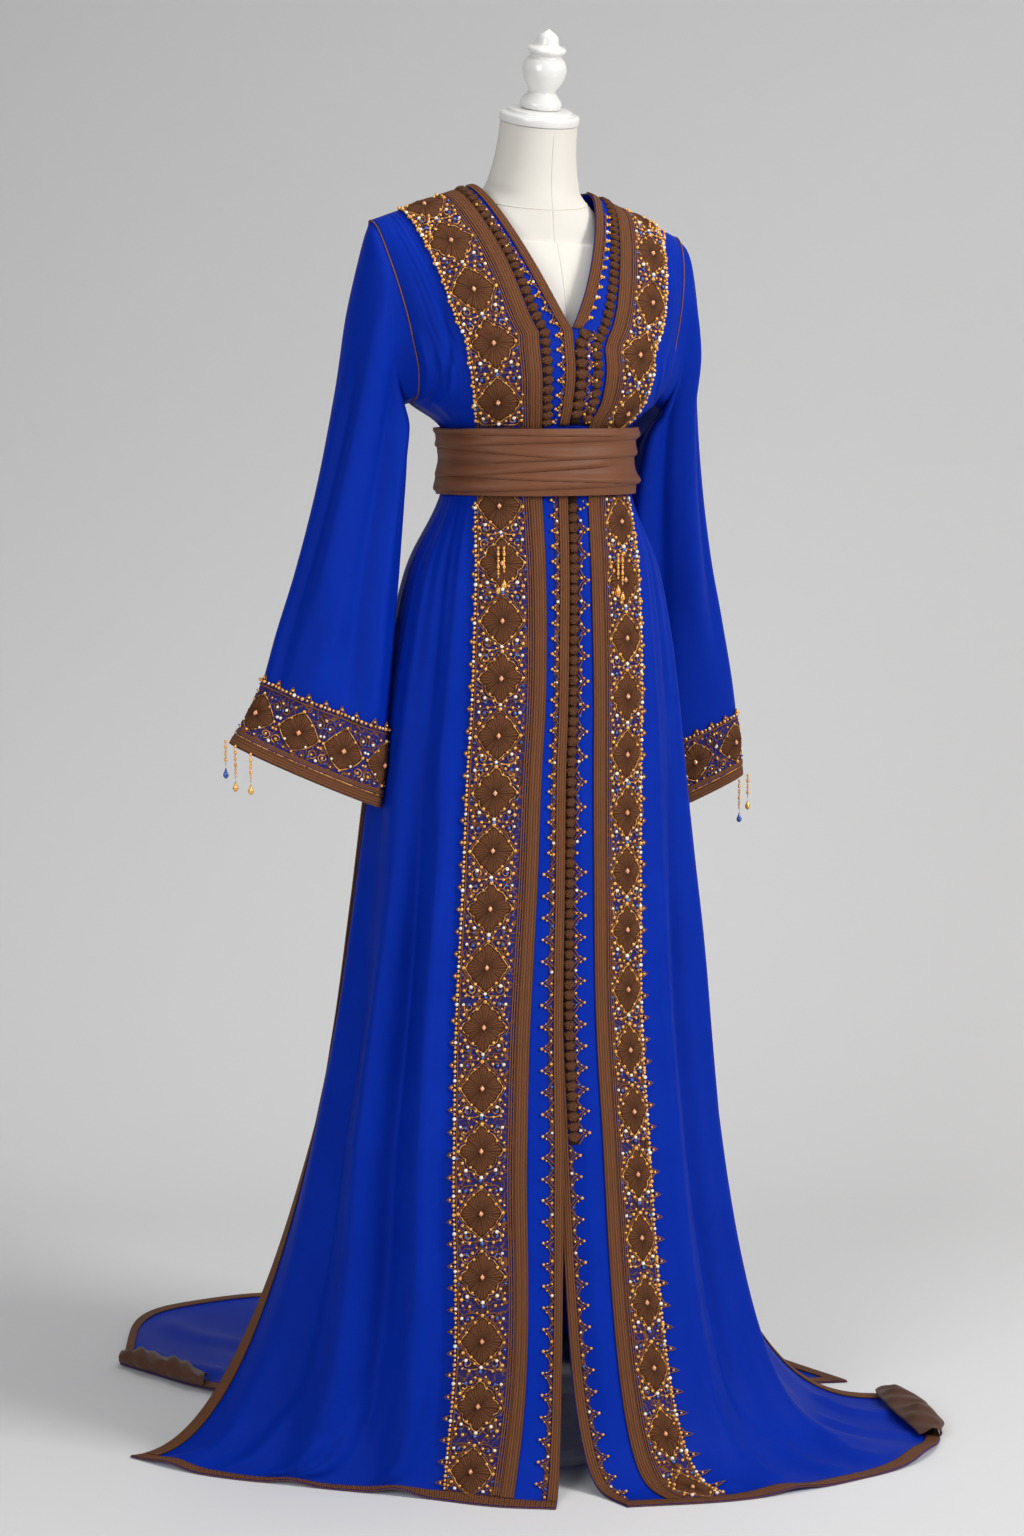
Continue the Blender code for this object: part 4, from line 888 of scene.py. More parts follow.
# %% [markdown]
# ## Making meshes
# A wall of cloth is a loft of its grid's rows, thickened outwards by Solidify. Repeated things, such
# as beads, knots and cords, come from Geometry Nodes, which copy one shape to many places.

# %% From a grid to a wall of cloth
PIECES = {}


def add_piece(name, mesh, material):
    """An object at the origin with its place in its mesh, shaded smooth."""
    mesh.materials.clear()
    mesh.materials.append(material)
    mesh.shade_smooth()
    made = bpy.data.objects.new(name, mesh)
    bpy.context.scene.collection.objects.link(made)
    PIECES[name] = made
    return made


def worked_mesh(name, work):
    """The mesh of a bmesh, which is freed."""
    mesh = bpy.data.meshes.new(name)
    work.to_mesh(mesh)
    work.free()
    return mesh


def mesh_with_uv(name, verts, faces, uv, weld=True):
    """A mesh with a UV map that is given for each point, welded where points meet."""
    mesh = bpy.data.meshes.new(name)
    mesh.from_pydata(verts.tolist(), [], faces)
    layer = mesh.uv_layers.new(name="UVMap")
    corners = np.concatenate([np.asarray(face) for face in faces])
    layer.data.foreach_set("uv", uv[corners].astype(np.float32).ravel())
    if weld:
        work = bmesh.new()
        work.from_mesh(mesh)
        bmesh.ops.remove_doubles(work, verts=work.verts[:], dist=1e-6)
        work.to_mesh(mesh)
        work.free()
    return mesh


def thickened(made, thickness, offset=1):
    """A piece with a wall of its own."""
    solid = made.modifiers.new("wall", "SOLIDIFY")
    solid.thickness, solid.offset = thickness, offset
    return made


def wall(name, points, across, along_it, flip, thickness, material, closed=False):
    """A wall of cloth on a grid of points, with a UV map in metres."""
    rows, cols = points.shape[:2]
    r, c = np.meshgrid(np.arange(rows - 1), np.arange(cols - 1), indexing="ij")
    here = (r * cols + c).ravel()
    quads = np.stack([here, here + cols, here + cols + 1, here + 1], axis=1)
    if flip:
        quads = quads[:, ::-1]
    uv = np.stack([across.ravel(), along_it.ravel()], axis=1)
    mesh = mesh_with_uv(name, points.reshape(-1, 3), quads.tolist(), uv, closed)
    return thickened(add_piece(name, mesh, material), thickness)


def bound(made):
    """The cloth's cut edges show the brown of the braid that binds them."""
    made.data.materials.append(BRAID_BROWN)
    made.modifiers["wall"].material_offset_rim = 1
    return made


def drawn_in(points, margin=TRIM_GAP):
    """A grid with its outer edges drawn in, so that neighbours don't touch."""
    drawn = points.copy()
    for axis in (0, 1):
        moved = np.moveaxis(drawn, axis, 0)
        for end, inner in ((0, 1), (-1, -2)):
            step = moved[inner] - moved[end]
            moved[end] += step * (margin / np.maximum(np.linalg.norm(step, axis=-1, keepdims=True), 1e-6))
    return drawn


def arched(share):
    """0 at both sides of a strip and 1 along its middle."""
    return np.sqrt(np.clip(1 - (2 * share - 1) ** 2, 0, 1))


def strip(name, grid, rows, cols, material, dome=0.0):
    """A strip sewn on a panel: part of its grid, moved out, a little thicker along its middle."""
    part = slice(rows[0], rows[1] + 1), slice(cols[0], cols[1] + 1)
    across = grid["wide"][part] - grid["wide"][part][:, :1]
    rise = SEWN + dome * arched(across / np.maximum(across[:, -1:], 1e-6))
    points = grid["points"][part] + grid["out"][part] * rise[..., None]
    return wall(name, drawn_in(points), across, grid["run"][part], grid["flip"], BRAID, material)


# %% Geometry Nodes: a cord along lines, and one shape set on many places
class Recipe:
    """A Geometry Nodes tree with named inputs, whose result is coated with a finish."""

    def __init__(self, name, *inputs):
        self.tree = bpy.data.node_groups.new(name, "GeometryNodeTree")
        kinds = (("Geometry", "Geometry"), *inputs, ("Finish", "Material"))
        for label, kind in kinds:
            self.tree.interface.new_socket(label, in_out="INPUT", socket_type="NodeSocket" + kind)
        self.tree.interface.new_socket("Geometry", in_out="OUTPUT", socket_type="NodeSocketGeometry")
        self.given = self.tree.nodes.new("NodeGroupInput").outputs

    def node(self, kind, settings=(), **inputs):
        """Adds a node. An input is given a value, or another node's output to link from."""
        made = self.tree.nodes.new(kind)
        for key, value in dict(settings).items():
            setattr(made, key, value)
        for key, value in inputs.items():
            socket = made.inputs[key.replace("_", " ")]
            if isinstance(value, bpy.types.NodeSocket):
                self.tree.links.new(value, socket)
            else:
                socket.default_value = value
        return made.outputs[0]

    def finish(self, made):
        """Makes the copies real, coats them and hands them out."""
        real = self.node("GeometryNodeRealizeInstances", Geometry=made)
        coated = self.node("GeometryNodeSetMaterial", Geometry=real, Material=self.given["Finish"])
        self.tree.links.new(coated, self.tree.nodes.new("NodeGroupOutput").inputs["Geometry"])

    def run(self, name, mesh, material, **values):
        """Runs the tree on a mesh and keeps the result as a plain piece."""
        holder = bpy.data.objects.new(name + "_source", mesh)
        bpy.context.scene.collection.objects.link(holder)
        modifier = holder.modifiers.new("make", "NODES")
        modifier.node_group = self.tree
        values["Finish"] = material
        for item in self.tree.interface.items_tree:
            if item.in_out == "INPUT" and item.name in values:
                modifier[item.identifier] = values[item.name]
        holder.update_tag()
        graph = bpy.context.evaluated_depsgraph_get()
        made = bpy.data.meshes.new_from_object(holder.evaluated_get(graph), depsgraph=graph)
        made.name = name
        for extra in [a.name for a in made.attributes if a.name in ("up", "way", "size")]:
            made.attributes.remove(made.attributes[extra])
        bpy.data.objects.remove(holder)
        return add_piece(name, made, material)


CORD = Recipe("cord_along_lines", ("Radius", "Float"), ("Sides", "Int"))
radius, sides = CORD.given["Radius"], CORD.given["Sides"]
profile = CORD.node("GeometryNodeCurvePrimitiveCircle", Radius=radius, Resolution=sides)
lines = CORD.node("GeometryNodeMeshToCurve", Mesh=CORD.given["Geometry"])
CORD.finish(CORD.node("GeometryNodeCurveToMesh", Curve=lines, Profile_Curve=profile, Fill_Caps=True))

COPIES = Recipe("set_on_places", ("Shape", "Object"))
up, way, size = (COPIES.node("GeometryNodeInputNamedAttribute", {"data_type": "FLOAT_VECTOR"}, Name=label)
                 for label in ("up", "way", "size"))
shape = COPIES.tree.nodes.new("GeometryNodeObjectInfo")
shape.inputs["As Instance"].default_value = True
COPIES.tree.links.new(COPIES.given["Shape"], shape.inputs["Object"])
upright = COPIES.node("FunctionNodeAlignRotationToVector", {"axis": "Z"}, Vector=up)
turned_down = COPIES.node(
    "FunctionNodeAlignRotationToVector", {"axis": "X", "pivot_axis": "Z"}, Rotation=upright, Vector=way)
COPIES.finish(COPIES.node(
    "GeometryNodeInstanceOnPoints", Points=COPIES.given["Geometry"], Instance=shape.outputs["Geometry"],
    Rotation=turned_down, Scale=size))


def cords(name, lines, radius, material, sides=5, loops=False):
    """Round cords along many lines of points, as one piece."""
    edges, start = [], 0
    for line in lines:
        steps = np.arange(start, start + len(line))
        edges += np.stack([steps, np.roll(steps, -1)], axis=1)[: len(line) if loops else -1].tolist()
        start += len(line)
    mesh = bpy.data.meshes.new(name)
    mesh.from_pydata(np.concatenate(lines).tolist(), edges, [])
    return CORD.run(name, mesh, material, Radius=radius, Sides=sides)


def set_on(name, shape, places, material):
    """Copies of a shape. A place is its spot, its upward and downward ways and its three sizes."""
    spots, *ways = (np.array(part, dtype=float) for part in zip(*places))
    mesh = bpy.data.meshes.new(name)
    mesh.from_pydata(spots.tolist(), [], [])
    for label, values in zip(("up", "way", "size"), ways):
        layer = mesh.attributes.new(label, "FLOAT_VECTOR", "POINT")
        layer.data.foreach_set("vector", values.astype(np.float32).ravel())
    return COPIES.run(name, mesh, material, Shape=shape)


SHAPES = []


def shape_object(name, work):
    """A shape to copy. It is taken away at the end."""
    mesh = worked_mesh(name, work)
    mesh.shade_smooth()
    made = bpy.data.objects.new("shape_" + name, mesh)
    bpy.context.scene.collection.objects.link(made)
    SHAPES.append(made)
    return made


def spun(profile, steps, weld):
    """A turned solid: radii and heights, spun about the vertical."""
    work = bmesh.new()
    corners = [work.verts.new((radius, 0, height)) for radius, height in profile]
    for low, high in zip(corners, corners[1:]):
        work.edges.new((low, high))
    around = {"cent": (0, 0, 0), "axis": (0, 0, 1), "angle": 2 * math.pi, "steps": steps}
    bmesh.ops.spin(work, geom=work.verts[:] + work.edges[:], **around)
    bmesh.ops.remove_doubles(work, verts=work.verts[:], dist=weld)
    bmesh.ops.recalc_face_normals(work, faces=work.faces[:])
    return work


work = bmesh.new()
bmesh.ops.create_uvsphere(work, u_segments=7, v_segments=5, radius=1.0)
BEAD = shape_object("bead", work)
print("Geometry Nodes trees:", [group.name for group in bpy.data.node_groups])

# %% [markdown]
# ## Cloth and the braids sewn flat on it
# The crepe pieces come first. The flat trims repeat their grids, moved out by the layers below, so a
# braid follows every crease of the cloth it is sewn to.

# %% Crepe panels
CUT = {}  # what each cloth piece was cut as: its grid, how it is held and what it rests on
for name in ("front_right", "front_left", "back", "sleeve_right", "sleeve_left"):
    grid, closed = GRIDS[name.removeprefix("front_")], name.startswith("sleeve")
    points, wide, run, flip = (grid[key] for key in ("points", "wide", "run", "flip"))
    made = wall("crepe_" + name, points, wide, run, flip, CLOTH, CREPE, closed)
    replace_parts(made if closed else bound(made), name)
print("crepe pieces:", len(PIECES))

# %% Flat trims of the fronts and the back
for side in ("right", "left"):
    grid = GRIDS[side]
    neck_end = BELT_TOP_ROW if side == "right" else POINT_ROW
    plain_end = grid["points"].shape[1] - 1
    for name, rows, cols, material, dome in (
        ("neck_braid", (0, neck_end), (EDGE, BRAID_END), BRAID_BROWN, 0.0007),
        ("edge_braid", (BELT_FOOT_ROW, HEM_ROW), (EDGE, BRAID_END), BRAID_BROWN, 0.0007),
        ("inner_braid", (0, HEM_ROW), (INNER_START, INNER_END), BRAID_BROWN, 0.0009),
        ("embroidered_band", (0, HEM_ROW), (INNER_END, BAND_END), NET, 0.0),
        ("slit_braid_front", (SLIT_ROW, HEM_ROW), (plain_end - SLIT, plain_end), BRAID_BROWN, 0.0006),
        ("hem_braid_front", (HEM_ROW, LAST_ROW), (0, plain_end), BRAID_BROWN, 0.0004),
    ):
        made = strip(f"{name}_{side}_sewn", grid, rows, cols, material, dome)
        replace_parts(made, f"{name}_{side}")
grid = GRIDS["back"]
plain_end = grid["points"].shape[1] - 1
for name, rows, cols in (
    ("slit_braid_back_right", (SLIT_ROW, HEM_ROW), (0, SLIT)),
    ("slit_braid_back_left", (SLIT_ROW, HEM_ROW), (plain_end - SLIT, plain_end)),
    ("hem_braid_back", (HEM_ROW, LAST_ROW), (0, plain_end)),
):
    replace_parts(strip(name + "_sewn", grid, rows, cols, BRAID_BROWN, 0.0005), name)

rows = []
for share in np.linspace(0.004, 0.075, 7):
    rows.append(yoke_point(NECK_SIDE * np.linspace(-1, 1, 61) * 0.96, float(share), back=True))
neck = make_grid(np.array(rows), True)
points = neck["points"] + neck["out"] * (CLOTH + 5 * PLY)
made = wall("neck_braid_back_sewn", points, neck["run"], neck["wide"], True, BRAID, BRAID_BROWN)
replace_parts(made, "neck_braid_back")
print("cloth and trims:", len(PIECES))

# %% Turned-up facings: a lip that rises from the edge and falls back on the cloth, crumpled
LIP = ((-0.002, 0.001), (-0.007, 0.008), (-0.001, 0.017), (0.014, 0.021), (0.033, 0.017), (0.048, 0.009))


def turn_up(name, edge_line, inner_line, node_name, rests_on):
    """A turned-up edge that shows the satin facing."""
    inward = inner_line - edge_line
    inward[:, 2] = 0
    inward /= np.linalg.norm(inward, axis=1, keepdims=True)
    place = np.linspace(0, 1, len(edge_line))
    grow = np.sin((0.12 + 0.76 * place) * math.pi) ** 0.5
    lip = smooth(range(len(LIP)), np.array(LIP), np.linspace(0, len(LIP) - 1, 22))
    rows = []
    for number, (across, up) in enumerate(lip):
        share = number / (len(lip) - 1)
        crumple = 0.0040 * np.sin(14 * place + 5 * share) * math.sin(math.pi * share)
        crumple = crumple + 0.0026 * np.sin(33 * place - 9 * share + 1.0) * math.sin(math.pi * share)
        step = inward * (across * grow + crumple)[:, None]
        rise = np.array([0, 0, 1]) * ((up + crumple * 0.8) * grow + CLOTH + BRAID + 3 * PLY)[:, None]
        rows.append(edge_line + step + rise)
    grid = make_grid(np.array(rows), False)
    made = wall(name, grid["points"], grid["run"], grid["wide"], False, CLOTH, FACING_PAINTED_SHADE)
    CUT[name] = grid, "folded", [rests_on]
    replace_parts(made, node_name)


def between(points, count):
    """The line of points read at count even places."""
    run = along(points)
    return at_distances(points, np.linspace(0, run[-1], count))


left, back = GRIDS["left"]["points"], GRIDS["back"]["points"]
corner, train = slice(-22, None), slice(nearest_row("sweep", 0.60), LAST_ROW + 1)
turn_up("facing_front_left_turned", between(left[-1, corner], 70), between(left[HEM_ROW, corner], 70),
        "facing_front_left", "crepe_front_left")
turn_up("facing_train_turned", between(back[train, 0], 110), between(back[train, SLIT], 110),
        "facing_train", "crepe_back")
print("turned-up facings made")

# %% [markdown]
# ## The sash
# The sash is a long strip of satin wound flat round the waist. Its layers don't lie edge on edge, so
# soft pleats run round it, each at its own slant, and it bunches a little at the wearer's right.

# %% Sash
SASH_PLEATS = (
    # height from the foot as a share, slant, depth, width, angle where it starts and ends (degrees)
    (0.13, 0.05, 0.0036, 0.110, -175, 95),
    (0.26, -0.07, 0.0026, 0.060, -75, 175),
    (0.40, 0.10, 0.0042, 0.120, -120, 40),
    (0.55, 0.06, 0.0036, 0.100, -60, 178),
    (0.62, -0.12, 0.0028, 0.070, -178, 10),
    (0.82, 0.05, 0.0036, 0.110, -85, 165),
    (0.92, -0.03, 0.0018, 0.050, -178, 178),
)
levels = np.linspace(BELT_HIGH, BELT_LOW, 90)
angles = np.linspace(0, 360, 241)
heights = (levels - BELT_LOW) / (BELT_HIGH - BELT_LOW)
swell = smooth((0.0, 0.25, 0.5, 0.75, 1.0), (0.0, 0.0026, 0.0010, 0.0030, 0.0036), heights)
rows = []
signed = (angles + 180) % 360 - 180
for z, share, out in zip(levels, heights, swell):
    line = ring(angles, z) * (0.4, 0.4, 1) + ring(angles, (BELT_LOW + BELT_HIGH) / 2) * (0.6, 0.6, 0)
    away = line * (1, 1, 0)
    away /= np.linalg.norm(away, axis=1, keepdims=True)
    relief = np.zeros(len(angles))
    for height, slant, depth, width, first, last in SASH_PLEATS:
        fade = ramp(first, first + 30, signed) * (1 - ramp(last - 30, last, signed))
        off = share - (height + slant * np.sin(np.radians(signed + 20)))
        relief += depth * fade * np.exp(-((off / np.where(off > 0, width, width * 0.22)) ** 2))
    bunch = np.exp(-(((signed + 72) / 24) ** 2)) * 0.0022 * np.sin(share * 30 + np.radians(signed * 3))
    rows.append(line + away * (BELT_LIFT + out + relief + bunch)[:, None])
sash = make_grid(np.array(rows), False)
made = wall("sash_satin", sash["points"], sash["run"], sash["wide"], False, BELT_WALL, SATIN, closed=True)
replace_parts(made, "belt")
print("sash:", round(float(sash["wide"][45, -1]), 3), "m round the waist")

# %% [markdown]
# ## Cuffs
# Each cuff carries a wide embroidered band with a braid below it, and a satin facing inside. The
# facing shows where the back of the sleeve hangs lower than its front.

# %% Cuff bands, braids and inner facings, and the armhole cords
CUFFS = {}
for side in ("right", "left"):
    grid = GRIDS["sleeve_" + side]
    count = SLEEVE_STEPS - 1
    reach = grid["reach"]
    per_ring = count / grid["last"]
    band_row = count - CUFF_BAND / reach * per_ring
    braid_row = count - CUFF_BRAID / reach * per_ring
    CUFFS[side] = grid, band_row, braid_row

    def tube(name, first, last, lift, thickness, material, steps, dome=0.0, inner=False):
        """A band round the cuff between two rows of the sleeve."""
        row, col = np.broadcast_arrays(np.linspace(first, last, steps)[:, None], np.arange(SLEEVE_RING + 1))
        points = lifted(grid, row, col, lift + dome * arched(np.linspace(0, 1, steps)[:, None]))
        points[:, -1] = points[:, 0]
        down, wide = on_grid(grid, "run", row, col), on_grid(grid, "wide", row, col)
        flip = grid["flip"] != inner
        if inner:
            CUT[name] = make_grid(points, flip), "hung", ["crepe_sleeve_" + side]
        return wall(name, points, down - down[:1], wide, flip, thickness, material, closed=True)

    gap = 2 * TRIM_GAP / reach * per_ring
    made = tube(f"cuff_band_{side}_sewn", band_row, braid_row - gap, SEWN, BRAID, NET, 20)
    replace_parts(made, "cuff_band_" + side)
    made = tube(f"cuff_braid_{side}_sewn", braid_row + gap, count, SEWN, BRAID, BRAID_BROWN, 9, 0.0006)
    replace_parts(made, "cuff_braid_" + side)
    start, end = (count - depth / reach * per_ring for depth in (0.062, 0.0006))
    tube(f"cuff_facing_{side}", start, end, -PLY, 0.0008, FACING_PAINTED_SHADE, 8, inner=True)
    seam = grid["points"][0, :-1] + grid["out"][0, :-1] * (CLOTH + PLY)
    made = cords(f"armhole_cord_{side}", [seam], 0.0009, SILK_CORD, sides=8, loops=True)
    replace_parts(made, "armhole_piping_" + side)
print("cuffs made:", sorted(CUFFS))

# %% [markdown]
# ## The embroidered bands
# The pattern is drawn flat first, as an embroiderer draws it on tissue, in metres. A point of the
# drawing is then looked up on the grid of the cloth and lifted off it.

# %% From the flat drawing to the cloth
RANDOM = np.random.default_rng(7)
BEADS = {side: {"gold": [], "pearl": [], "blue": []} for side in ("right", "left")}


def under_sash(points):
    """True where the sash covers a point."""
    z = np.asarray(points)[..., 2]
    return (z > BELT_LOW - 0.004) & (z < BELT_HIGH + 0.006)


def sew_bead(side, kind, grid, row, col, radius, base=SEWN, sunk=1.0, ratio=(1.0, 1.0, 1.0)):
    """Stores a bead, a little larger or smaller than its fellows, unless the sash covers it."""
    radius = radius * RANDOM.uniform(0.88, 1.12)
    spot = lifted(grid, row, col, base + radius * sunk)
    if not under_sash(spot):
        ways = on_grid(grid, "out", row, col), on_grid(grid, "down", row, col)
        BEADS[side][kind].append((spot, *ways, [radius * share for share in ratio]))


class Drawing:
    """A flat drawing laid on a grid, x across and y along it, and what is sewn where it says."""

    def __init__(self, side, grid, address, sunk, flat):
        """address finds the row and column of x and y. Beads are sunk into the cloth and flat."""
        self.side, self.grid, self.address, self.sunk, self.flat = side, grid, address, sunk, flat
        self.gold, self.silk, self.stones = [], [], []
        self.verts, self.faces, self.uv, self.count = [], [], [], 0

    def place(self, x, y, height):
        """Points at a height above the band's face."""
        return lifted(self.grid, *self.address(x, y), TOP + height)

    def bead(self, kind, x, y, radius, squash=(1.0, 1.0)):
        row, col = self.address(x, y)
        sew_bead(self.side, kind, self.grid, row, col, radius, TOP, self.sunk, (*squash, self.flat))

    def motif_beads(self, table, x, y, narrow, scale, fits=lambda x, y: True):
        """The beads of a motif, on both hands where they aren't on its middle line."""
        for across, down, radius, kind in table:
            for hand in ((1,) if across == 0 else (-1, 1)):
                jog = RANDOM.uniform(-0.8, 0.8, 2)
                at = x + (hand * across + jog[0]) * 0.001 * narrow, y + (down + jog[1]) * 0.001
                if fits(*at):
                    self.bead(kind, *at, radius * scale)

    def patch(self, flat, x, y, wide=1.0, tall=1.0):
        """A gathered patch."""
        (across, down, height), faces, uv = flat
        self.verts.append(self.place(x + across * wide, y + down * tall, height))
        self.faces += [tuple(self.count + corner for corner in face) for face in faces]
        self.uv.append(uv)
        self.count += len(uv)

    def stone(self, x, y, height, sizes):
        """The stone in the middle of a patch."""
        row, col = self.address(x, y)
        ways = on_grid(self.grid, "out", row, col), on_grid(self.grid, "down", row, col)
        self.stones.append((self.place(x, y, height), *ways, sizes))

    def sew(self, prefix=""):
        """Makes a piece each of the patches, the stones and the two kinds of cord."""
        name = f"{prefix}patches_{self.side}"
        mesh = mesh_with_uv(name, np.concatenate(self.verts), self.faces, np.concatenate(self.uv))
        thickened(add_piece(name, mesh, GATHERED), 0.0009, -1)
        middle = mesh.polygons[len(mesh.polygons) // 2]
        gaps = np.linalg.norm(self.grid["points"].reshape(-1, 3) - np.array(middle.center), axis=1)
        if np.dot(np.array(middle.normal), self.grid["out"].reshape(-1, 3)[gaps.argmin()]) < 0:
            mesh.flip_normals()
        set_on(f"{prefix}stones_{self.side}", STONE, self.stones, BEAD_COPPER)
        cords(f"{prefix}gold_cord_{self.side}", self.gold, 0.00078, GOLD_CORD)
        cords(f"{prefix}silk_cord_{self.side}", self.silk, 0.00085, SILK_CORD)


def band_drawing(side):
    """The drawing of a front's band: x out from its middle, y down from the shoulder."""
    grid = GRIDS[side]
    run = grid["run"][:, BAND_MID]
    half = (grid["wide"][:, BAND_END] - grid["wide"][:, INNER_END]) / 2
    rows = np.arange(len(run))

    def address(x, y):
        row = np.interp(y, run, rows)
        return row, BAND_MID + ZONE * np.asarray(x) / np.interp(row, rows, half)

    made = Drawing(side, grid, address, 0.72, 0.9)
    made.length = run[HEM_ROW]
    made.half_at = lambda y: float(np.interp(np.interp(y, run, rows), rows, half))
    return made


DRAWN = {side: band_drawing(side) for side in ("right", "left")}
print("band lengths:", {side: round(float(band.length), 3) for side, band in DRAWN.items()})

# %% One motif: a gathered patch in a diamond, its outline, scrolls and beads
PATCH_HALF_WIDE, PATCH_HALF_TALL = 0.0262, 0.0305
PATCH_TURNS, PATCH_RINGS = 48, 6


def diamond(turn, scallop):
    """Radius of the patch at an angle, as a share of its half sizes: full, lobed sides."""
    c, s = np.abs(np.cos(turn)), np.abs(np.sin(turn))
    radius = 1 / (c**1.28 + s**1.28) ** (1 / 1.28)
    return radius * (1 + scallop * (np.abs(np.cos(4 * turn)) ** 0.7 - 0.5))


def patch_points(scallop):
    """The patch in the flat: across, down and height of a polar grid, with its UV numbers."""
    turn = np.linspace(0, 2 * math.pi, PATCH_TURNS + 1)
    share = np.linspace(0, 1, PATCH_RINGS + 1)[1:, None]
    radius = diamond(turn, scallop) * share
    pleat = 0.00035 * np.cos(16 * turn) * np.sin(math.pi * share)
    height = 0.0028 * np.clip(1 - share**2.4, 0, 1) ** 0.6 + pleat + 0.0003
    polar = radius * np.cos(turn) * PATCH_HALF_WIDE, radius * np.sin(turn) * PATCH_HALF_TALL, height
    flat = [np.concatenate([[start], part.ravel()]) for start, part in zip((0.0, 0.0, 0.0026), polar)]
    faces, corners = [], PATCH_TURNS + 1
    for k in range(PATCH_TURNS):
        faces.append((0, 1 + k, 2 + k))
        for a in range(1 + k, 1 + k + (PATCH_RINGS - 1) * corners, corners):
            faces.append((a, a + corners, a + corners + 1, a + 1))
    around = np.stack(np.broadcast_arrays(turn / (2 * math.pi), share * 0.03), axis=-1)
    return flat, faces, np.concatenate([[[0.5, 0.0]], around.reshape(-1, 2)])


def spiral(centre, start, turns, first, last, steps=20):
    """A scroll of cord in the flat."""
    t = np.linspace(0, 1, steps)
    angle = start + turns * 2 * math.pi * t
    radius = first + (last - first) * t
    return np.stack([centre[0] + radius * np.cos(angle), centre[1] + radius * np.sin(angle)], axis=1)


TAIL = np.array([(0.0015, 0.0342), (0.0070, 0.0368), (0.0130, 0.0372)])
LEAF = np.array([(0.0, 0.0335), (0.0045, 0.0362), (0.0062, 0.0332), (0.0038, 0.0306), (0.0, 0.0335)])


def gap_scrolls(kind, way, gold, silk):
    """Mirrored scrolls beyond a patch's tip, each with its store. way is +1 below it, -1 above it."""
    found = []
    for hand in (-1, 1):
        turned_in = math.radians(90 * way)
        if kind == DOUBLED:
            curl = spiral((hand * 0.0185, way * 0.0290), turned_in, hand * way * -1.35, 0.0080, 0.0022)
            found.append((np.concatenate([TAIL * (hand, way), curl]), gold if way > 0 else silk))
            small = spiral((hand * 0.0255, way * 0.0185), turned_in, hand * way * 1.0, 0.0040, 0.0014, 14)
            found.append((small, silk))
        else:
            curl = spiral((hand * 0.0205, way * 0.0255), -turned_in, hand * way * 1.2, 0.0066, 0.0020)
            found.append((curl, silk if way > 0 else gold))
            found.append((LEAF * (hand, way), silk))
    return found


SCALLOPED, DOUBLED = 0, 1
SCALLOP = {SCALLOPED: 0.16, DOUBLED: 0.05}
PATCH_FLATS = {kind: patch_points(SCALLOP[kind]) for kind in SCALLOP}
# Beads of a motif in the flat, in millimetres: across, down, radius and kind
MOTIF_BEADS = (
    (0.0, -34.5, 2.5, "gold"), (0.0, 34.0, 2.4, "pearl"), (29.0, 0.0, 2.2, "gold"),
    (20.0, -12.5, 1.9, "gold"), (13.0, 20.5, 1.9, "gold"), (9.5, -24.5, 1.7, "gold"),
    (24.0, 15.5, 2.1, "gold"), (25.5, -17.0, 2.1, "gold"), (19.5, 24.5, 2.2, "pearl"),
    (12.5, -31.5, 2.0, "gold"), (27.5, 29.5, 2.2, "gold"), (27.0, -30.5, 2.0, "pearl"),
    (8.5, 29.5, 1.8, "gold"), (16.0, 38.0, 1.9, "gold"), (30.0, 9.0, 1.6, "blue"),
    (19.5, -30.0, 2.0, "blue"), (19.5, 30.5, 1.6, "blue"), (0.0, 38.8, 2.4, "blue"),
    (29.5, 21.0, 1.5, "gold"), (30.0, -9.5, 1.5, "gold"), (25.0, 36.5, 1.6, "gold"),
    (6.5, -38.5, 1.5, "gold"), (22.5, -24.0, 1.5, "gold"),
)
print("a motif has", sum(1 if bead[0] == 0 else 2 for bead in MOTIF_BEADS), "beads and a centre stone")

# %% The centre stone
work = bmesh.new()
bmesh.ops.create_cone(work, cap_ends=True, segments=4, radius1=1.0, radius2=0.45, depth=0.8)
bmesh.ops.bevel(work, geom=work.edges[:], offset=0.10, segments=2, affect="EDGES")
STONE = shape_object("stone", work)

# %% [markdown]
# ### Laying out the motifs
# The maker spaces the patches by eye, closer on the chest and further apart low on the skirt. The
# plain outline and the doubled outline with scrolls take turns.

# %% Places of the motifs
FIRST_MOTIF, LAST_MOTIF = 0.024, 0.030  # from the shoulder seam and from the hem braid
SHIFT = 0.0028  # the patches sit a little nearer the outer edge than the band's middle


def motif_places(length):
    """Distances down the band of the patches' middles."""
    spots = [FIRST_MOTIF]
    while spots[-1] < length - 0.060:
        spots.append(spots[-1] + 0.0755 + 0.0115 * float(ramp(0.75, 1.7, spots[-1])))
    even = (length - LAST_MOTIF - FIRST_MOTIF) / (spots[-1] - FIRST_MOTIF)
    return [FIRST_MOTIF + (at - FIRST_MOTIF) * even for at in spots]


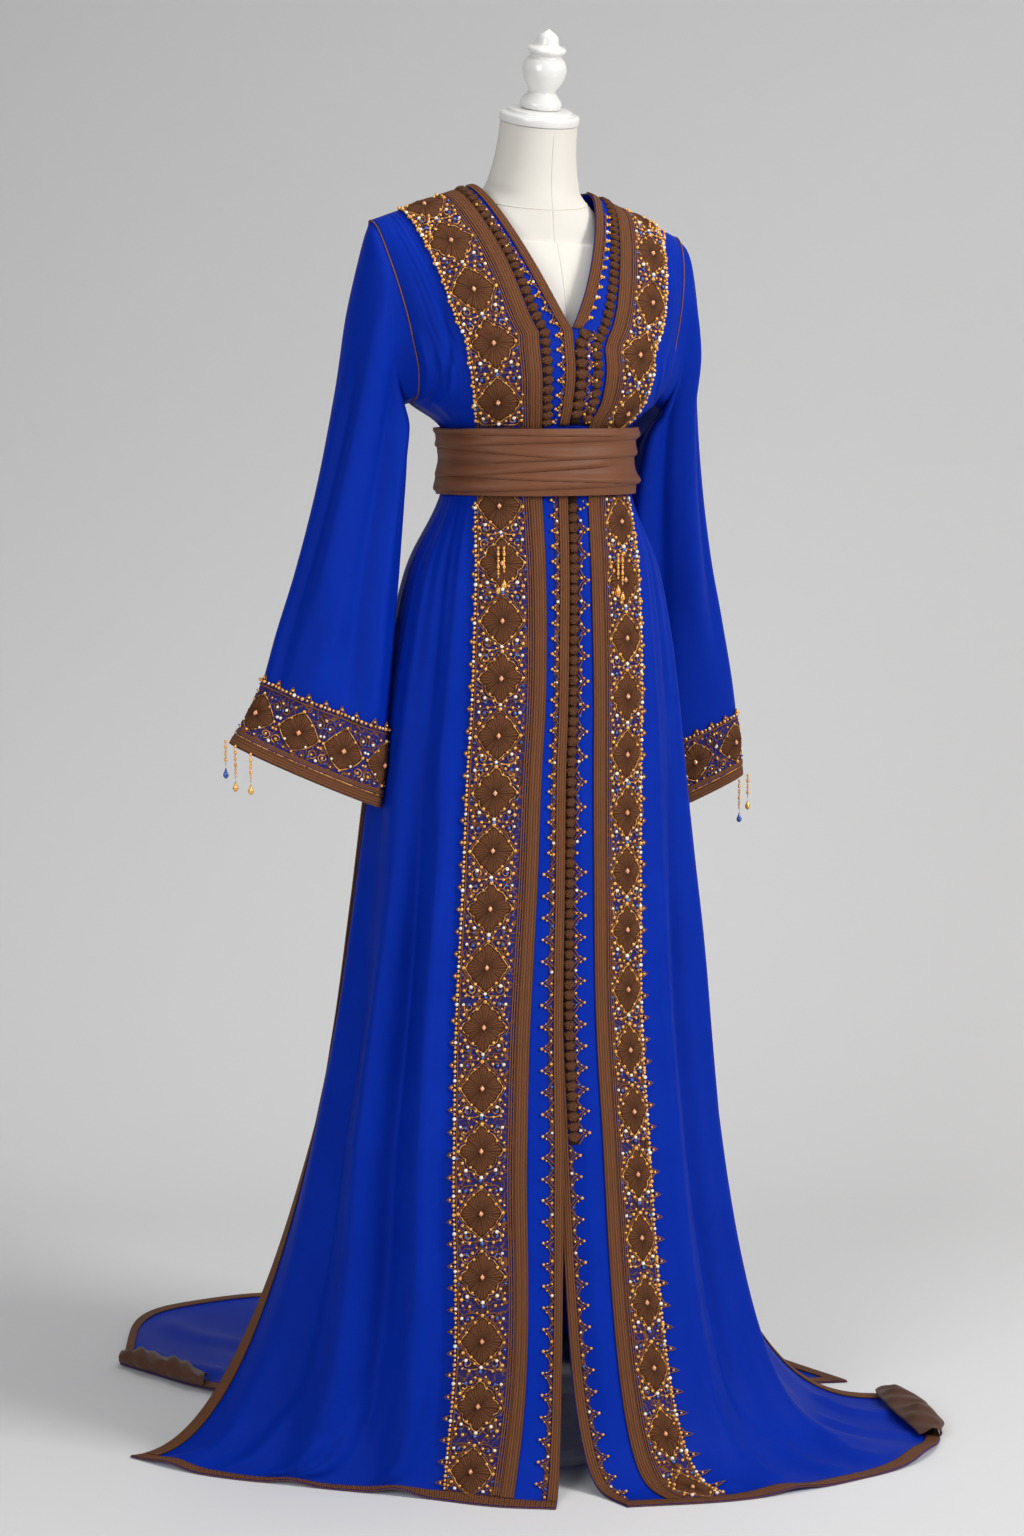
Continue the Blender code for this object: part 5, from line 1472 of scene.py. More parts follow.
for band in DRAWN.values():
    for number, at in enumerate(motif_places(band.length)):
        if under_sash(band.place(SHIFT, at, 0)):
            continue
        kind = SCALLOPED if number % 2 else DOUBLED
        room = band.half_at(at) - 0.002
        narrow = min(1.0, room / 0.0315)
        band.patch(PATCH_FLATS[kind], SHIFT, at, narrow)
        turn = np.linspace(0, 2 * math.pi, 65)
        close = 1.02 + 0.015 * np.sin(24 * turn)
        wide = 1.13 if kind == DOUBLED else 1.16 + 0.05 * np.abs(np.sin(6 * turn))
        for store, grown, height in ((band.gold, close, 0.0010), (band.silk, wide, 0.0008)):
            radius = diamond(turn, SCALLOP[kind]) * grown
            store.append(band.place(SHIFT + radius * np.cos(turn) * PATCH_HALF_WIDE * narrow,
                                    at + radius * np.sin(turn) * PATCH_HALF_TALL, height))
        for way in (-1, 1):
            for line, store in gap_scrolls(kind, way, band.gold, band.silk):
                down = at + line[:, 1]
                if down.min() > 0.003 and down.max() < band.length - 0.001:
                    store.append(band.place(SHIFT + line[:, 0] * narrow, down, 0.0009))
        band.motif_beads(MOTIF_BEADS, SHIFT, at, narrow, 0.00115,
                         lambda x, y: 0.002 < y < band.length - 0.002 and abs(x) < room)
        band.stone(SHIFT, at, 0.0042, (0.0052, 0.0040, 0.0040))
print("patches and centre stones:", {side: len(band.stones) for side, band in DRAWN.items()})

# %% [markdown]
# ### Edges of the band
# Along its outer side the band ends in a close row of gold beads with a pointed picot at every third
# or fourth one. Along its inner side thin silk cords lie side by side next to the braid.

# %% Bead edge, picots and thin cords
PICOT = np.array([-0.0042, -0.0022, 0.0, 0.0022, 0.0042])
PICOT_RISE = np.array([-0.0012, 0.0034, 0.0062, 0.0034, -0.0012])
# side of the band (-1 inner), distance in from its edge, height
THIN_CORDS = (-1, 0.0010, 0.0007), (-1, 0.0042, 0.0007), (-1, 0.0072, 0.0006), (1, 0.0050, 0.0007)
for side, band in DRAWN.items():
    down = np.arange(0.004, band.length - 0.003, 0.0062)
    numbers = np.arange(len(down))
    big = numbers % 2 == 0
    for pick, radius, squash in ((big, 0.0026, (1.0, 1.0)), (~big, 0.0018, (1.25, 0.9))):
        for kind, chosen in (("gold", numbers % 8 != 4), ("pearl", numbers % 8 == 4)):
            for y in down[pick & chosen]:
                band.bead(kind, band.half_at(y) - 0.0018, y, radius, squash)
    for tip in np.arange(0.010, band.length - 0.008, 0.0290):
        edge_out = band.half_at(tip)
        line = band.place(edge_out + PICOT_RISE, tip + PICOT, 0.0006)
        if not under_sash(line).any():
            band.silk.append(line)
            band.bead("gold", edge_out + 0.0024, tip, 0.0019)
    steady = np.arange(0.002, band.length - 0.002, 0.0060)
    half = np.array([band.half_at(y) for y in steady])
    for hand, inset, height in THIN_CORDS:
        band.silk.append(band.place(hand * (half - inset), steady, height))
    band.sew()
print("cord lines:", {side: len(band.gold) + len(band.silk) for side, band in DRAWN.items()})

# %% [markdown]
# ## Knotted buttons
# Each button (aakad) is a small ball wound from cord, with a little loop to each side that is sewn
# into the braid. One is modelled with its crossing strands and then set on many places.

# %% One knot
work = bmesh.new()
bmesh.ops.create_uvsphere(work, u_segments=20, v_segments=11, radius=1.0)
for corner in work.verts:
    x, y, z = corner.co
    turn, high = math.atan2(y, x), math.asin(max(-1.0, min(1.0, z)))
    strands = 1 + 0.15 * math.sin(3 * turn + 5 * high) * math.cos(high) + 0.10 * math.sin(5 * turn - 4 * high)
    corner.co = x * strands, y * strands, max(z, -0.25) * 0.72 * strands
KNOT_SHAPE = shape_object("knot", work)

# %% Columns of knots, each on its tape
FRONT_COLUMN = 12.0  # in the zone beside the edge braid
# column, pitch, half width and height, tape's half width
FRONT_KNOTS = FRONT_COLUMN, 0.0133, 0.0078, 0.0058, 0.0066
NECK_KNOTS = 20.4, 0.0120, 0.0066, 0.0052, 0.0050  # in the zone beside the inner braid
KNOT_COLUMNS = (
    # name, node, side, first and last row, column and sizes
    ("chest", "button_row_chest", "left", POINT_ROW, BELT_TOP_ROW, *FRONT_KNOTS),
    ("skirt", "button_row_skirt", "left", BELT_FOOT_ROW, KNOT_END_ROW, *FRONT_KNOTS),
    ("neck_right", "neck_knots_right", "right", 0, BELT_TOP_ROW, *NECK_KNOTS),
    ("neck_left", "neck_knots_left", "left", 0, BELT_TOP_ROW, *NECK_KNOTS),
)


def column_places(side, first_row, last_row, col, pitch):
    """Fractional rows down one column of a front, evenly spaced."""
    rows = np.arange(first_row, last_row + 1)
    lane = on_grid(GRIDS[side], "run", rows, np.full(len(rows), float(col)))
    return np.interp(np.arange(lane[0] + pitch / 2, lane[-1] - pitch / 3, pitch), lane, rows)


def knot_column(name, node_name, side, first_row, last_row, col, pitch, wide, tall):
    """A column of knots with the two little side loops of each."""
    grid = GRIDS[side]
    rows = column_places(side, first_row, last_row, col, pitch)
    spots = lifted(grid, rows, col, SEWN + 0.0014)
    rows, spots = rows[~under_sash(spots)], spots[~under_sash(spots)]
    ups, down = (on_grid(grid, key, rows, np.full(len(rows), col)) for key in ("out", "down"))
    sizes = np.tile((tall, wide, 0.0046), (len(rows), 1)) * RANDOM.uniform(0.93, 1.07, (len(rows), 1))
    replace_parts(set_on(name, KNOT_SHAPE, zip(spots, ups, down, sizes), KNOT), node_name)
    reach = np.linspace(-1, 1, 7)[:, None]
    bars = []
    for spot, across, way, up in zip(spots, np.cross(ups, down), down, ups):
        for shift in (-0.0019, 0.0019):
            bow = up * ((1 - reach**2) * 0.0004 - 0.0006)
            bars.append(spot + across * reach * (wide + 0.0010) + way * (shift * (1.6 - abs(reach))) + bow)
    cords(name + "_loops", bars, 0.00080, KNOT)
    return len(rows)


def ribbon(name, side, first_row, last_row, middle, spread, thickness, material):
    """A narrow wall along a front, spread about a distance in from its edge."""
    grid = GRIDS[side]
    rows = np.arange(first_row, last_row + 1)
    across = np.broadcast_to(middle + spread, (len(rows), len(spread)))
    cols = np.stack([column_at(grid, row, line) for line, row in zip(across, rows)])
    rows = np.broadcast_to(rows[:, None].astype(float), cols.shape)
    run = on_grid(grid, "run", rows, cols)
    wall(name, lifted(grid, rows, cols, SEWN), across - across[:, :1], run, grid["flip"], thickness, material)


def column_at(grid, row, distance):
    """Fractional column at a distance from the edge on a row."""
    lane = grid["wide"][int(row)]
    return np.interp(distance, lane, np.arange(len(lane)))


knots = 0
for name, node_name, side, first_row, last_row, col, *sizes, half in KNOT_COLUMNS:
    knots += knot_column("knots_" + name, node_name, side, first_row, last_row, col, *sizes)
    first_row = max(first_row, 1)
    middle = on_grid(GRIDS[side], "wide", np.arange(first_row, last_row + 1), col)[:, None]
    ribbon("knot_tape_" + name, side, first_row, last_row, middle, np.linspace(-half, half, 5), 0.0008, TAPE_PAINTED_SHADE)
print("knotted buttons:", knots)

# %% [markdown]
# ## Lace inside the opening
# A narrow lace of net, cord and beads lies along the edge braid and points into the blue gap beside
# it. Its scallops end in beaded points, which stand further apart low on the skirt.

# %% Lace scallops with beads
MIDDLE_ROW = nearest_row("drop", 0.82)
LACES = (
    # side, first row, last row, distance in from the edge, reach, pitch
    ("right", 10, BELT_TOP_ROW, 0.0142, 0.0085, 0.0190),
    ("right", BELT_FOOT_ROW, MIDDLE_ROW, 0.0142, 0.0085, 0.0200),
    ("right", MIDDLE_ROW, HEM_ROW, 0.0142, 0.0145, 0.0285),
    ("left", 12, POINT_ROW, 0.0135, 0.0050, 0.0150),
    ("left", POINT_ROW, BELT_TOP_ROW, 0.0290, 0.0110, 0.0190),
    ("left", BELT_FOOT_ROW, MIDDLE_ROW, 0.0290, 0.0100, 0.0330),
    ("left", MIDDLE_ROW, KNOT_END_ROW, 0.0290, 0.0120, 0.0285),
    ("left", KNOT_END_ROW, HEM_ROW, 0.0142, 0.0145, 0.0285),
)
LACE_FOOT_BEADS = ("gold", "gold", "pearl", "gold", "gold", "blue", "gold")
LACE_LINES = {"right": [], "left": []}


def lace(side, first_row, last_row, start, reach, pitch):
    """Pointed scallops of cord that stand out from a distance in from the edge, with their beads."""
    grid = GRIDS[side]

    def bead(row, distance, radius, kind="gold"):
        sew_bead(side, kind, grid, row, column_at(grid, row, distance), radius)

    for row in column_places(side, first_row, last_row, FRONT_COLUMN, pitch):
        step = on_grid(grid, "points", row + 1, FRONT_COLUMN) - on_grid(grid, "points", row, FRONT_COLUMN)
        rows_a_pitch = pitch / max(1e-6, float(np.linalg.norm(step)))
        for width, height in ((0.50, 1.0), (0.26, 0.62)):
            t = np.linspace(-1, 1, 15)
            rows = row + t * width * rows_a_pitch
            rise = start + height * reach * (1 - np.abs(t) ** 0.75) * (1 + 0.12 * np.cos(9 * t))
            cols = np.array([column_at(grid, r, d) for r, d in zip(rows, rise)])
            line = lifted(grid, rows, cols, SEWN + 0.0010)
            if not under_sash(line).any():
                LACE_LINES[side].append(line)
        bead(row, start + reach + 0.0012, 0.0022)
        bead(row + 0.13 * rows_a_pitch, start + reach * 0.72, 0.0013)
        bead(row - 0.13 * rows_a_pitch, start + reach * 0.66, 0.0012)
    for number, row in enumerate(column_places(side, first_row, last_row, FRONT_COLUMN, 0.0150)):
        bead(row, start + 0.0028, 0.0021 if number % 4 else 0.0016, LACE_FOOT_BEADS[number % 7])


for stretch in LACES:
    lace(*stretch)
for side, first_row in (("right", BELT_FOOT_ROW), ("left", KNOT_END_ROW)):
    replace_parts(cords("lace_cord_" + side, LACE_LINES[side], 0.00080, SILK_CORD), "lace_" + side)
    ribbon("lace_net_" + side, side, first_row, HEM_ROW, 0.0142, np.linspace(0, 0.0062, 4), 0.0004, NET)
print("lace scallops:", {side: len(lines) // 2 for side, lines in LACE_LINES.items()})

# %% [markdown]
# ## Embroidery of the cuffs
# The cuffs repeat the band's motif lying on its side: diamonds in a row round the sleeve, a bead
# edge with picots along the top and thin cords above the braid.

# %% Cuff motifs
CUFF_PITCH, CUFF_HALF = 0.066, 0.0265
CUFF_BEADS = (
    # across, up, radius in millimetres, kind
    (0, 28, 2.3, "gold"), (0, -28, 2.3, "gold"), (27.5, 0, 2.3, "gold"), (14, 15.5, 1.9, "gold"),
    (13.5, -15.5, 1.9, "pearl"), (33, 8, 2.1, "pearl"), (33, -9, 2.1, "gold"), (24, 20, 2.1, "pearl"),
    (24, -21, 2.0, "gold"), (31, 27, 2.0, "gold"), (31, -28, 2.1, "pearl"), (12, 28, 1.7, "gold"),
    (12, -28, 1.7, "gold"), (19, 27, 1.6, "blue"), (20, -27, 1.8, "blue"), (33, 18, 1.5, "blue"),
)


def cuff_drawing(side, grid, band_row, braid_row):
    """The drawing of a cuff: x round the sleeve, y up from the band's middle."""
    middle = (band_row + braid_row) / 2 + 0.2
    girth = grid["wide"][int(middle)]
    tall = on_grid(grid, "points", braid_row, 24.0) - on_grid(grid, "points", band_row, 24.0)
    rows_a_metre = (braid_row - band_row) / float(np.linalg.norm(tall))

    def address(x, y):
        row, around = np.broadcast_arrays(middle - np.asarray(y) * rows_a_metre, np.mod(x, girth[-1]))
        return row, np.interp(around, girth, np.arange(len(girth)))

    made = Drawing(side, grid, address, 0.7, 1.0)
    made.girth = girth[-1]
    made.top, made.foot = ((middle - row) / rows_a_metre for row in (band_row, braid_row))
    return made


for side, (grid, band_row, braid_row) in CUFFS.items():
    cuff = cuff_drawing(side, grid, band_row, braid_row)
    count = int(round(cuff.girth / CUFF_PITCH))
    flat = patch_points(0.0)
    turn = np.linspace(0, 2 * math.pi, 49)
    radius = diamond(turn, 0.0) * 1.01
    across, upward = radius * np.cos(turn) * CUFF_HALF, radius * np.sin(turn) * CUFF_HALF
    for number in range(count):
        at = (number + 0.3) * (cuff.girth / count)
        cuff.patch(flat, at, 0.0, CUFF_HALF / PATCH_HALF_WIDE, CUFF_HALF / PATCH_HALF_TALL)
        cuff.gold.append(cuff.place(at + across, upward, 0.0010))
        cuff.stone(at, 0.0, 0.0040, (0.0050, 0.0046, 0.0038))
        for way in (-1, 1):
            for hand in (-1, 1):
                start = math.radians(90 * way)
                line = spiral((hand * 0.0235, way * 0.0205), start, hand * way * -1.2, 0.0068, 0.0022, 16)
                (cuff.silk if way > 0 else cuff.gold).append(cuff.place(at + line[:, 0], line[:, 1], 0.0009))
        cuff.motif_beads(CUFF_BEADS, at, 0.0, 1.0, 0.001)
    edge_up, foot_up = cuff.top - 0.0015, cuff.foot + 0.0015
    for number, at in enumerate(np.arange(0.0, cuff.girth - 0.003, 0.0062)):
        cuff.bead("pearl" if number % 7 == 3 else "gold", at, edge_up, 0.0018 if number % 2 else 0.0025)
    for at in np.arange(0.010, cuff.girth - 0.008, 0.0240):
        rise = edge_up + np.array([0.0006, 0.0048, 0.0076, 0.0048, 0.0006])
        cuff.silk.append(cuff.place(at + PICOT, rise, 0.0006))
        cuff.bead("gold", at, edge_up + 0.0040, 0.0018)
    lap = np.linspace(0, cuff.girth, 120)
    for start, up, height in (
        (foot_up, 0, 0.0008), (foot_up, 0.0022, 0.0009), (foot_up, 0.0044, 0.0008),
        (edge_up, -0.0045, 0.0007),
    ):
        cuff.silk.append(cuff.place(lap, start + up, height))
    cuff.gold.append(cuff.place(lap, foot_up - 0.0030, 0.0006))
    cuff.sew("cuff_")
    print("cuff", side, "has", count, "patches round", round(float(cuff.girth), 3), "m")

# %% [markdown]
# ## Strings of beads
# Short strings hang from the outer corner of each cuff, from the shoulders and from the bands below
# the hips: a few small beads, a long one and a glass drop. They hang straight down.

# %% Bead strings
DROP_PROFILE = ((0, -1.0), (0.30, -0.86), (0.55, -0.60), (0.50, -0.30), (0.22, 0.10), (0.10, 0.40), (0, 0.5))
DROP_SHAPE = shape_object("drop", spun(DROP_PROFILE, 8, 1e-4))
STRING_BEADS = (("gold", 0.0019), ("copper", 0.0015), ("gold", 0.0023), ("gold", 0.0016))
STRINGS = {"gold": [], "copper": [], "drops_gold": [], "drops_blue": []}
THREADS = []


def hang_string(top, length, drop):
    """A string of beads that hangs straight down from a point."""
    upright = (0, 0, 1), (1, 0, 0)
    THREADS.append(top - np.outer((-0.001, length * 0.5, length - 0.012), (0, 0, 1)))
    at, number = 0.001, 0
    while at < length - 0.017:
        kind, radius = STRING_BEADS[number % 4]
        STRINGS[kind].append((top - (0, 0, at), *upright, (radius, radius, radius * 1.25)))
        at += radius * 2.3
        number += 1
    STRINGS["drops_" + drop].append((top - (0, 0, length - 0.0055), *upright, (0.0072, 0.0072, 0.0100)))


CUFF_STRINGS = (
    # side, place round the cuff, length, colour of the drop
    ("right", 0.35, 0.046, "blue"), ("right", 1.15, 0.056, "gold"), ("right", 1.95, 0.050, "gold"),
    ("left", 0.45, 0.046, "gold"), ("left", 1.30, 0.056, "blue"),
)
BAND_STRINGS = (
    # side, down the band, out from its middle, length, colour of the drop, height off the band
    ("right", 0.055, 0.012, 0.040, "gold", 0.0085), ("right", 0.075, 0.020, 0.046, "gold", 0.0085),
    ("left", 0.040, 0.004, 0.038, "gold", 0.0085), ("left", 0.046, 0.016, 0.044, "blue", 0.0085),
    ("left", 0.052, 0.026, 0.040, "gold", 0.0085),
    ("right", 0.527, 0.000, 0.050, "gold", 0.0075), ("right", 0.527, 0.007, 0.058, "gold", 0.0075),
    ("left", 0.527, -0.011, 0.050, "gold", 0.0075), ("left", 0.527, -0.004, 0.058, "gold", 0.0075),
)
STRING_LIFT = CLOTH + BRAID + 2 * PLY + 0.0022 + 0.0052
for side, round_it, length, drop in CUFF_STRINGS:
    grid = GRIDS["sleeve_" + side]
    hang_string(lifted(grid, SLEEVE_STEPS - 1.01, round_it * SLEEVE_RING / 16, STRING_LIFT), length, drop)
for side, down, out, length, drop, height in BAND_STRINGS:
    hang_string(DRAWN[side].place(out, down, height), length, drop)
STRING_FINISHES = {"gold": BEAD_GOLD, "copper": BEAD_COPPER, "drops_gold": BEAD_GOLD, "drops_blue": BEAD_BLUE}
for kind, places in STRINGS.items():
    shape = DROP_SHAPE if kind.startswith("drops") else BEAD
    made = set_on("strings_" + kind, shape, places, STRING_FINISHES[kind])
    if kind == "gold":
        strings = "right_1", "right_2", "right_3", "left_1", "left_2"
        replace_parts(made, *("cuff_string_" + string for string in strings))
cords("string_threads", THREADS, 0.0004, GOLD_CORD, sides=4)

# %% All the sewn beads, one piece for each side and kind
for side in ("right", "left"):
    for kind, material in (("gold", BEAD_GOLD), ("pearl", BEAD_PEARL), ("blue", BEAD_BLUE)):
        set_on(f"beads_{kind}_{side}", BEAD, BEADS[side][kind], material)
print("beads sewn on:", sum(len(places) for kinds in BEADS.values() for places in kinds.values()))

# %% [markdown]
# ## The form and its stand
# A shop's form is a padded bust with a knit cover, a turned wooden cap on its neck and a finial. Its
# shape is the garment's own, drawn in by the thickness of air and cloth, so the two can't meet.

# %% The bust
NECK_FOOT, NECK_LEAN = np.array([0, 0.015, 1.688]), math.radians(14.0)
NECK_RINGS = ((0.002, 0.0660), (0.020, 0.0595), (0.045, 0.0545), (0.070, 0.0520), (0.095, 0.0510))
FORM_INSET, FORM_FLATTER, FORM_RING = 0.0090, 0.90, 96
FORM_FOOT_Z, FORM_SHOULDER_Z, FORM_SHOULDER_DIP = 1.060, 1.622, 0.021
NECK_AXIS = np.array([0, -math.sin(NECK_LEAN), math.cos(NECK_LEAN)])
NECK_FRONT = np.array([0, -math.cos(NECK_LEAN), -math.sin(NECK_LEAN)])
x_way = np.sin(np.linspace(-1, 1, FORM_RING // 2) * math.pi / 2)
around = np.concatenate([np.arcsin(x_way), math.pi - np.arcsin(x_way[::-1])])


def neck_ring(height, radius):
    """A ring of the leaning neck."""
    sideways = np.outer(np.sin(around), (radius, 0, 0))
    return NECK_FOOT + NECK_AXIS * height + sideways + np.outer(np.cos(around), NECK_FRONT * radius)


def form_level(z, tilt=0.0):
    """The cloth's section at a height of the yoke, which may tilt, drawn in by the inset."""
    loop = []
    for way, back in ((x_way, False), (x_way[::-1], True)):
        for step in way:
            side, share = ("right" if step < 0 else "left"), 0.5
            for _ in range(12):
                x = step * (armhole_x(share, side) - FORM_INSET)
                top = float(yoke_point(np.array([x]), 0.0, back)[0, 2])
                share = min(1.0, max(0.0, (top - z + x * tilt) / (top - ARMPIT_Z)))
            loop.append(yoke_point(np.array([x]), share, back)[0])
    middle = np.array([0, RIDGE_Y, 0])
    both = (np.array(loop) - middle) * (1, FORM_FLATTER, 1) + middle
    away = (both - middle) * (1, 1, 0)
    return both - away / np.linalg.norm(away, axis=1, keepdims=True) * FORM_INSET


keys = [neck_ring(height, radius) for height, radius in NECK_RINGS[::-1]]
upper = form_level(FORM_SHOULDER_Z, SHOULDER_TILT)
for share in (0.24, 0.55, 1.0):
    mixed = keys[len(NECK_RINGS) - 1] * (1 - share) + upper * share
    mixed[:, 2] -= FORM_SHOULDER_DIP * math.sin(math.pi * share)
    keys.append(mixed)
keys += [form_level(1.590, SHOULDER_TILT / 2), form_level(1.540), form_level(1.480), form_level(ARMPIT_Z)]
for z in (1.385, 1.340, 1.295, 1.210, FORM_FOOT_Z + 0.006, FORM_FOOT_Z):
    line = ring(np.degrees(around), z)
    away = line * (1, 1, 0)
    inset = FORM_INSET + (0.004 if z == FORM_FOOT_Z else 0)
    keys.append(line - away / np.linalg.norm(away, axis=1, keepdims=True) * inset)
keys = np.array(keys)


def between_keys(rings, count):
    """Rings along the smooth skin through some key rings."""
    spans = np.linspace(0, len(rings) - 1, count)
    return smooth(range(len(rings)), rings.reshape(len(rings), -1), spans).reshape(count, -1, 3)


form_rows = np.concatenate([between_keys(keys[:8], 43), between_keys(keys[7:], 61)[1:]])
form_mesh = bpy.data.meshes.new("form")
rows, cols = form_rows.shape[:2]
quads = [(r * cols + c, (r + 1) * cols + c, (r + 1) * cols + (c + 1) % cols, r * cols + (c + 1) % cols)
         for r in range(rows - 1) for c in range(cols)]
quads.append(tuple(range(cols)))
quads.append(tuple((rows - 1) * cols + c for c in reversed(range(cols))))
form_mesh.from_pydata(form_rows.reshape(-1, 3).tolist(), [], quads)
FORM = add_piece("form_knit", form_mesh, KNIT)
FORM.data.set_sharp_from_angle(angle=math.radians(45))
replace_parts(FORM, "form_bust")
print("form:", len(form_mesh.polygons), "faces")

# %% Seams of the cover: round the foot of the neck and down its middle
def form_seam(first, last, col):
    """Points down one column of the form, a hair off its cover."""
    line = form_rows[first:last, col]
    away = (line - (0, 0.02, 0)) * (1, 1, 0)
    away /= np.linalg.norm(away, axis=1, keepdims=True)
    return line + away * 0.0001


front_col = int(np.argmin(np.abs(around)))
foot_of_neck = form_rows[26] + (form_rows[26] - form_rows[26].mean(axis=0)) * 0.004
seams = [form_seam(2, 60, front_col), np.concatenate([foot_of_neck, foot_of_neck[:1]])]
cords("form_seams", seams, 0.00055, KNIT, sides=4)

# %% Turned cap and finial
def turned(name, profile, place, lean):
    """A turned piece of painted wood: its profile spun about an axis that leans forward."""
    work = spun(profile, 64, 1e-6)
    tilt = math.radians(lean)
    for corner in work.verts:
        x, y, z = corner.co
        corner.co = (x + place[0], y * math.cos(tilt) - z * math.sin(tilt) + place[1],
                     y * math.sin(tilt) + z * math.cos(tilt) + place[2])
    made = add_piece(name, worked_mesh(name, work), PAINT)
    made.data.set_sharp_from_angle(angle=math.radians(38))
    return made


def fine_profile(profile, count=70):
    """A finial's profile read along a smooth curve."""
    table = np.array(profile)
    return [tuple(p) for p in smooth(range(len(table)), table, np.linspace(0, len(table) - 1, count))]


CAP_PROFILE = (
    (0.0, 0.0), (0.0505, 0.0), (0.0522, 0.0007), (0.0530, 0.0022), (0.0530, 0.0092), (0.0524, 0.0108),
    (0.0505, 0.0120), (0.0480, 0.0126), (0.0440, 0.0131), (0.0431, 0.0140), (0.0424, 0.0162),
    (0.0408, 0.0172), (0.0300, 0.0180), (0.0, 0.0185))
FINIAL_PROFILE = (
    (0.0, 0.0), (0.0270, 0.0), (0.0275, 0.0080), (0.0205, 0.0170), (0.0180, 0.0220), (0.0250, 0.0340),
    (0.0290, 0.0480), (0.0265, 0.0600), (0.0200, 0.0680), (0.0250, 0.0730), (0.0245, 0.0780),
    (0.0160, 0.0820), (0.0125, 0.0930), (0.0, 0.1020))
CAP_FOOT = NECK_FOOT + NECK_AXIS * (NECK_RINGS[-1][0] + PLY)
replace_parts(turned("neck_cap_turned", CAP_PROFILE, CAP_FOOT, 14.0), "neck_cap")
FINIAL_FOOT = CAP_FOOT + NECK_AXIS * (CAP_PROFILE[-1][1] + 0.0014)
foot = ((0.0, 0.0), (0.0262, 0.0), (0.0272, 0.0010), (0.0275, 0.0024), (0.0275, 0.0070), (0.0268, 0.0084))
body = fine_profile(FINIAL_PROFILE[2:])
whole = foot + tuple(body[4:-1]) + (FINIAL_PROFILE[-1],)
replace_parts(turned("finial_turned", whole, FINIAL_FOOT, 17.0), "finial")
for name in ("form_flange", "pole", "base_socket", "base"):
    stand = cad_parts[name]
    for holder in stand.material_slots:
        holder.material = STEEL
print("form and stand finished")

# %% [markdown]
# ## The pieces and their cut sizes
# Each piece rides on the one body. For each cloth piece the size it was cut to is worked out from
# the grids' own lengths along and across the cloth, and printed.

# %% Riding on the body, and the cut sizes
for shape in SHAPES:
    bpy.data.objects.remove(shape)
for name, piece in PIECES.items():
    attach(piece, "root")


def cut_size(grid):
    """Width, length and area of the flat piece that a grid was cut from."""
    points = grid["points"]
    low, high = points[1:, :-1], points[:-1, 1:]
    halves = [np.cross(low - corner, high - corner) for corner in (points[:-1, :-1], points[1:, 1:])]
    area = float(sum(np.linalg.norm(half, axis=2).sum() for half in halves) / 2)
    return round(float(grid["wide"][:, -1].max()), 3), round(float(grid["run"][-1].max()), 3), round(area, 4)


def sewn_on(cloth):
    """The trims that go with a crepe piece."""
    found = []
    for name, piece in PIECES.items():
        hand = "right" if "_right" in name else "left"
        if name.startswith(("crepe", "sash", "facing", "form", "neck_cap", "finial", "string")):
            continue
        if "cuff" in name or "armhole" in name:
            owner = "crepe_sleeve_" + hand
        else:
            owner = "crepe_back" if "_back" in name else "crepe_front_" + hand
        if owner == cloth and name not in CUT:
            found.append(piece)
    return found


for name in ("front_right", "front_left", "back", "sleeve_right", "sleeve_left"):
    CUT["crepe_" + name] = GRIDS[name.removeprefix("front_")], "hung", ["form_knit"]
CUT["sash_satin"] = sash, "gathered", ["form_knit"]
for name, (grid, held, rests) in CUT.items():
    width, length, area = cut_size(grid)
    sewn_on(name)
    print(name, "cut", width, "x", length, "m,", area, "square metres")

# %% [markdown]
# ## Floor, backdrop, light and camera
# A pale floor curves up into the backdrop, whose back lets the view through. Three soft panels light
# the garment and the camera looks slightly down from its right.

# %% Floor and backdrop in one sweep
def sweep_mesh(width, near, far, radius, tall):
    """A floor that curves up into a wall."""
    turn = np.linspace(0, math.pi / 2, 25)
    outline = [(near, 0.0), (far - radius, 0.0)]
    outline += [(far - radius + radius * math.sin(t), radius - radius * math.cos(t)) for t in turn[1:]]
    outline.append((far, tall))
    verts = [(x, y, z) for y, z in outline for x in (-width / 2, width / 2)]
    faces = [(2 * i, 2 * i + 1, 2 * i + 3, 2 * i + 2) for i in range(len(outline) - 1)]
    mesh = bpy.data.meshes.new("studio_sweep")
    mesh.from_pydata(verts, [], faces)
    mesh.polygons.foreach_set("use_smooth", [True] * len(faces))
    return mesh


paper = Finish("studio_paper", (0.60, 0.60, 0.60), 0.95, Specular_IOR_Level=0.1)
height = paper.node("SeparateXYZ", (), Vector=paper.object_place())[2]
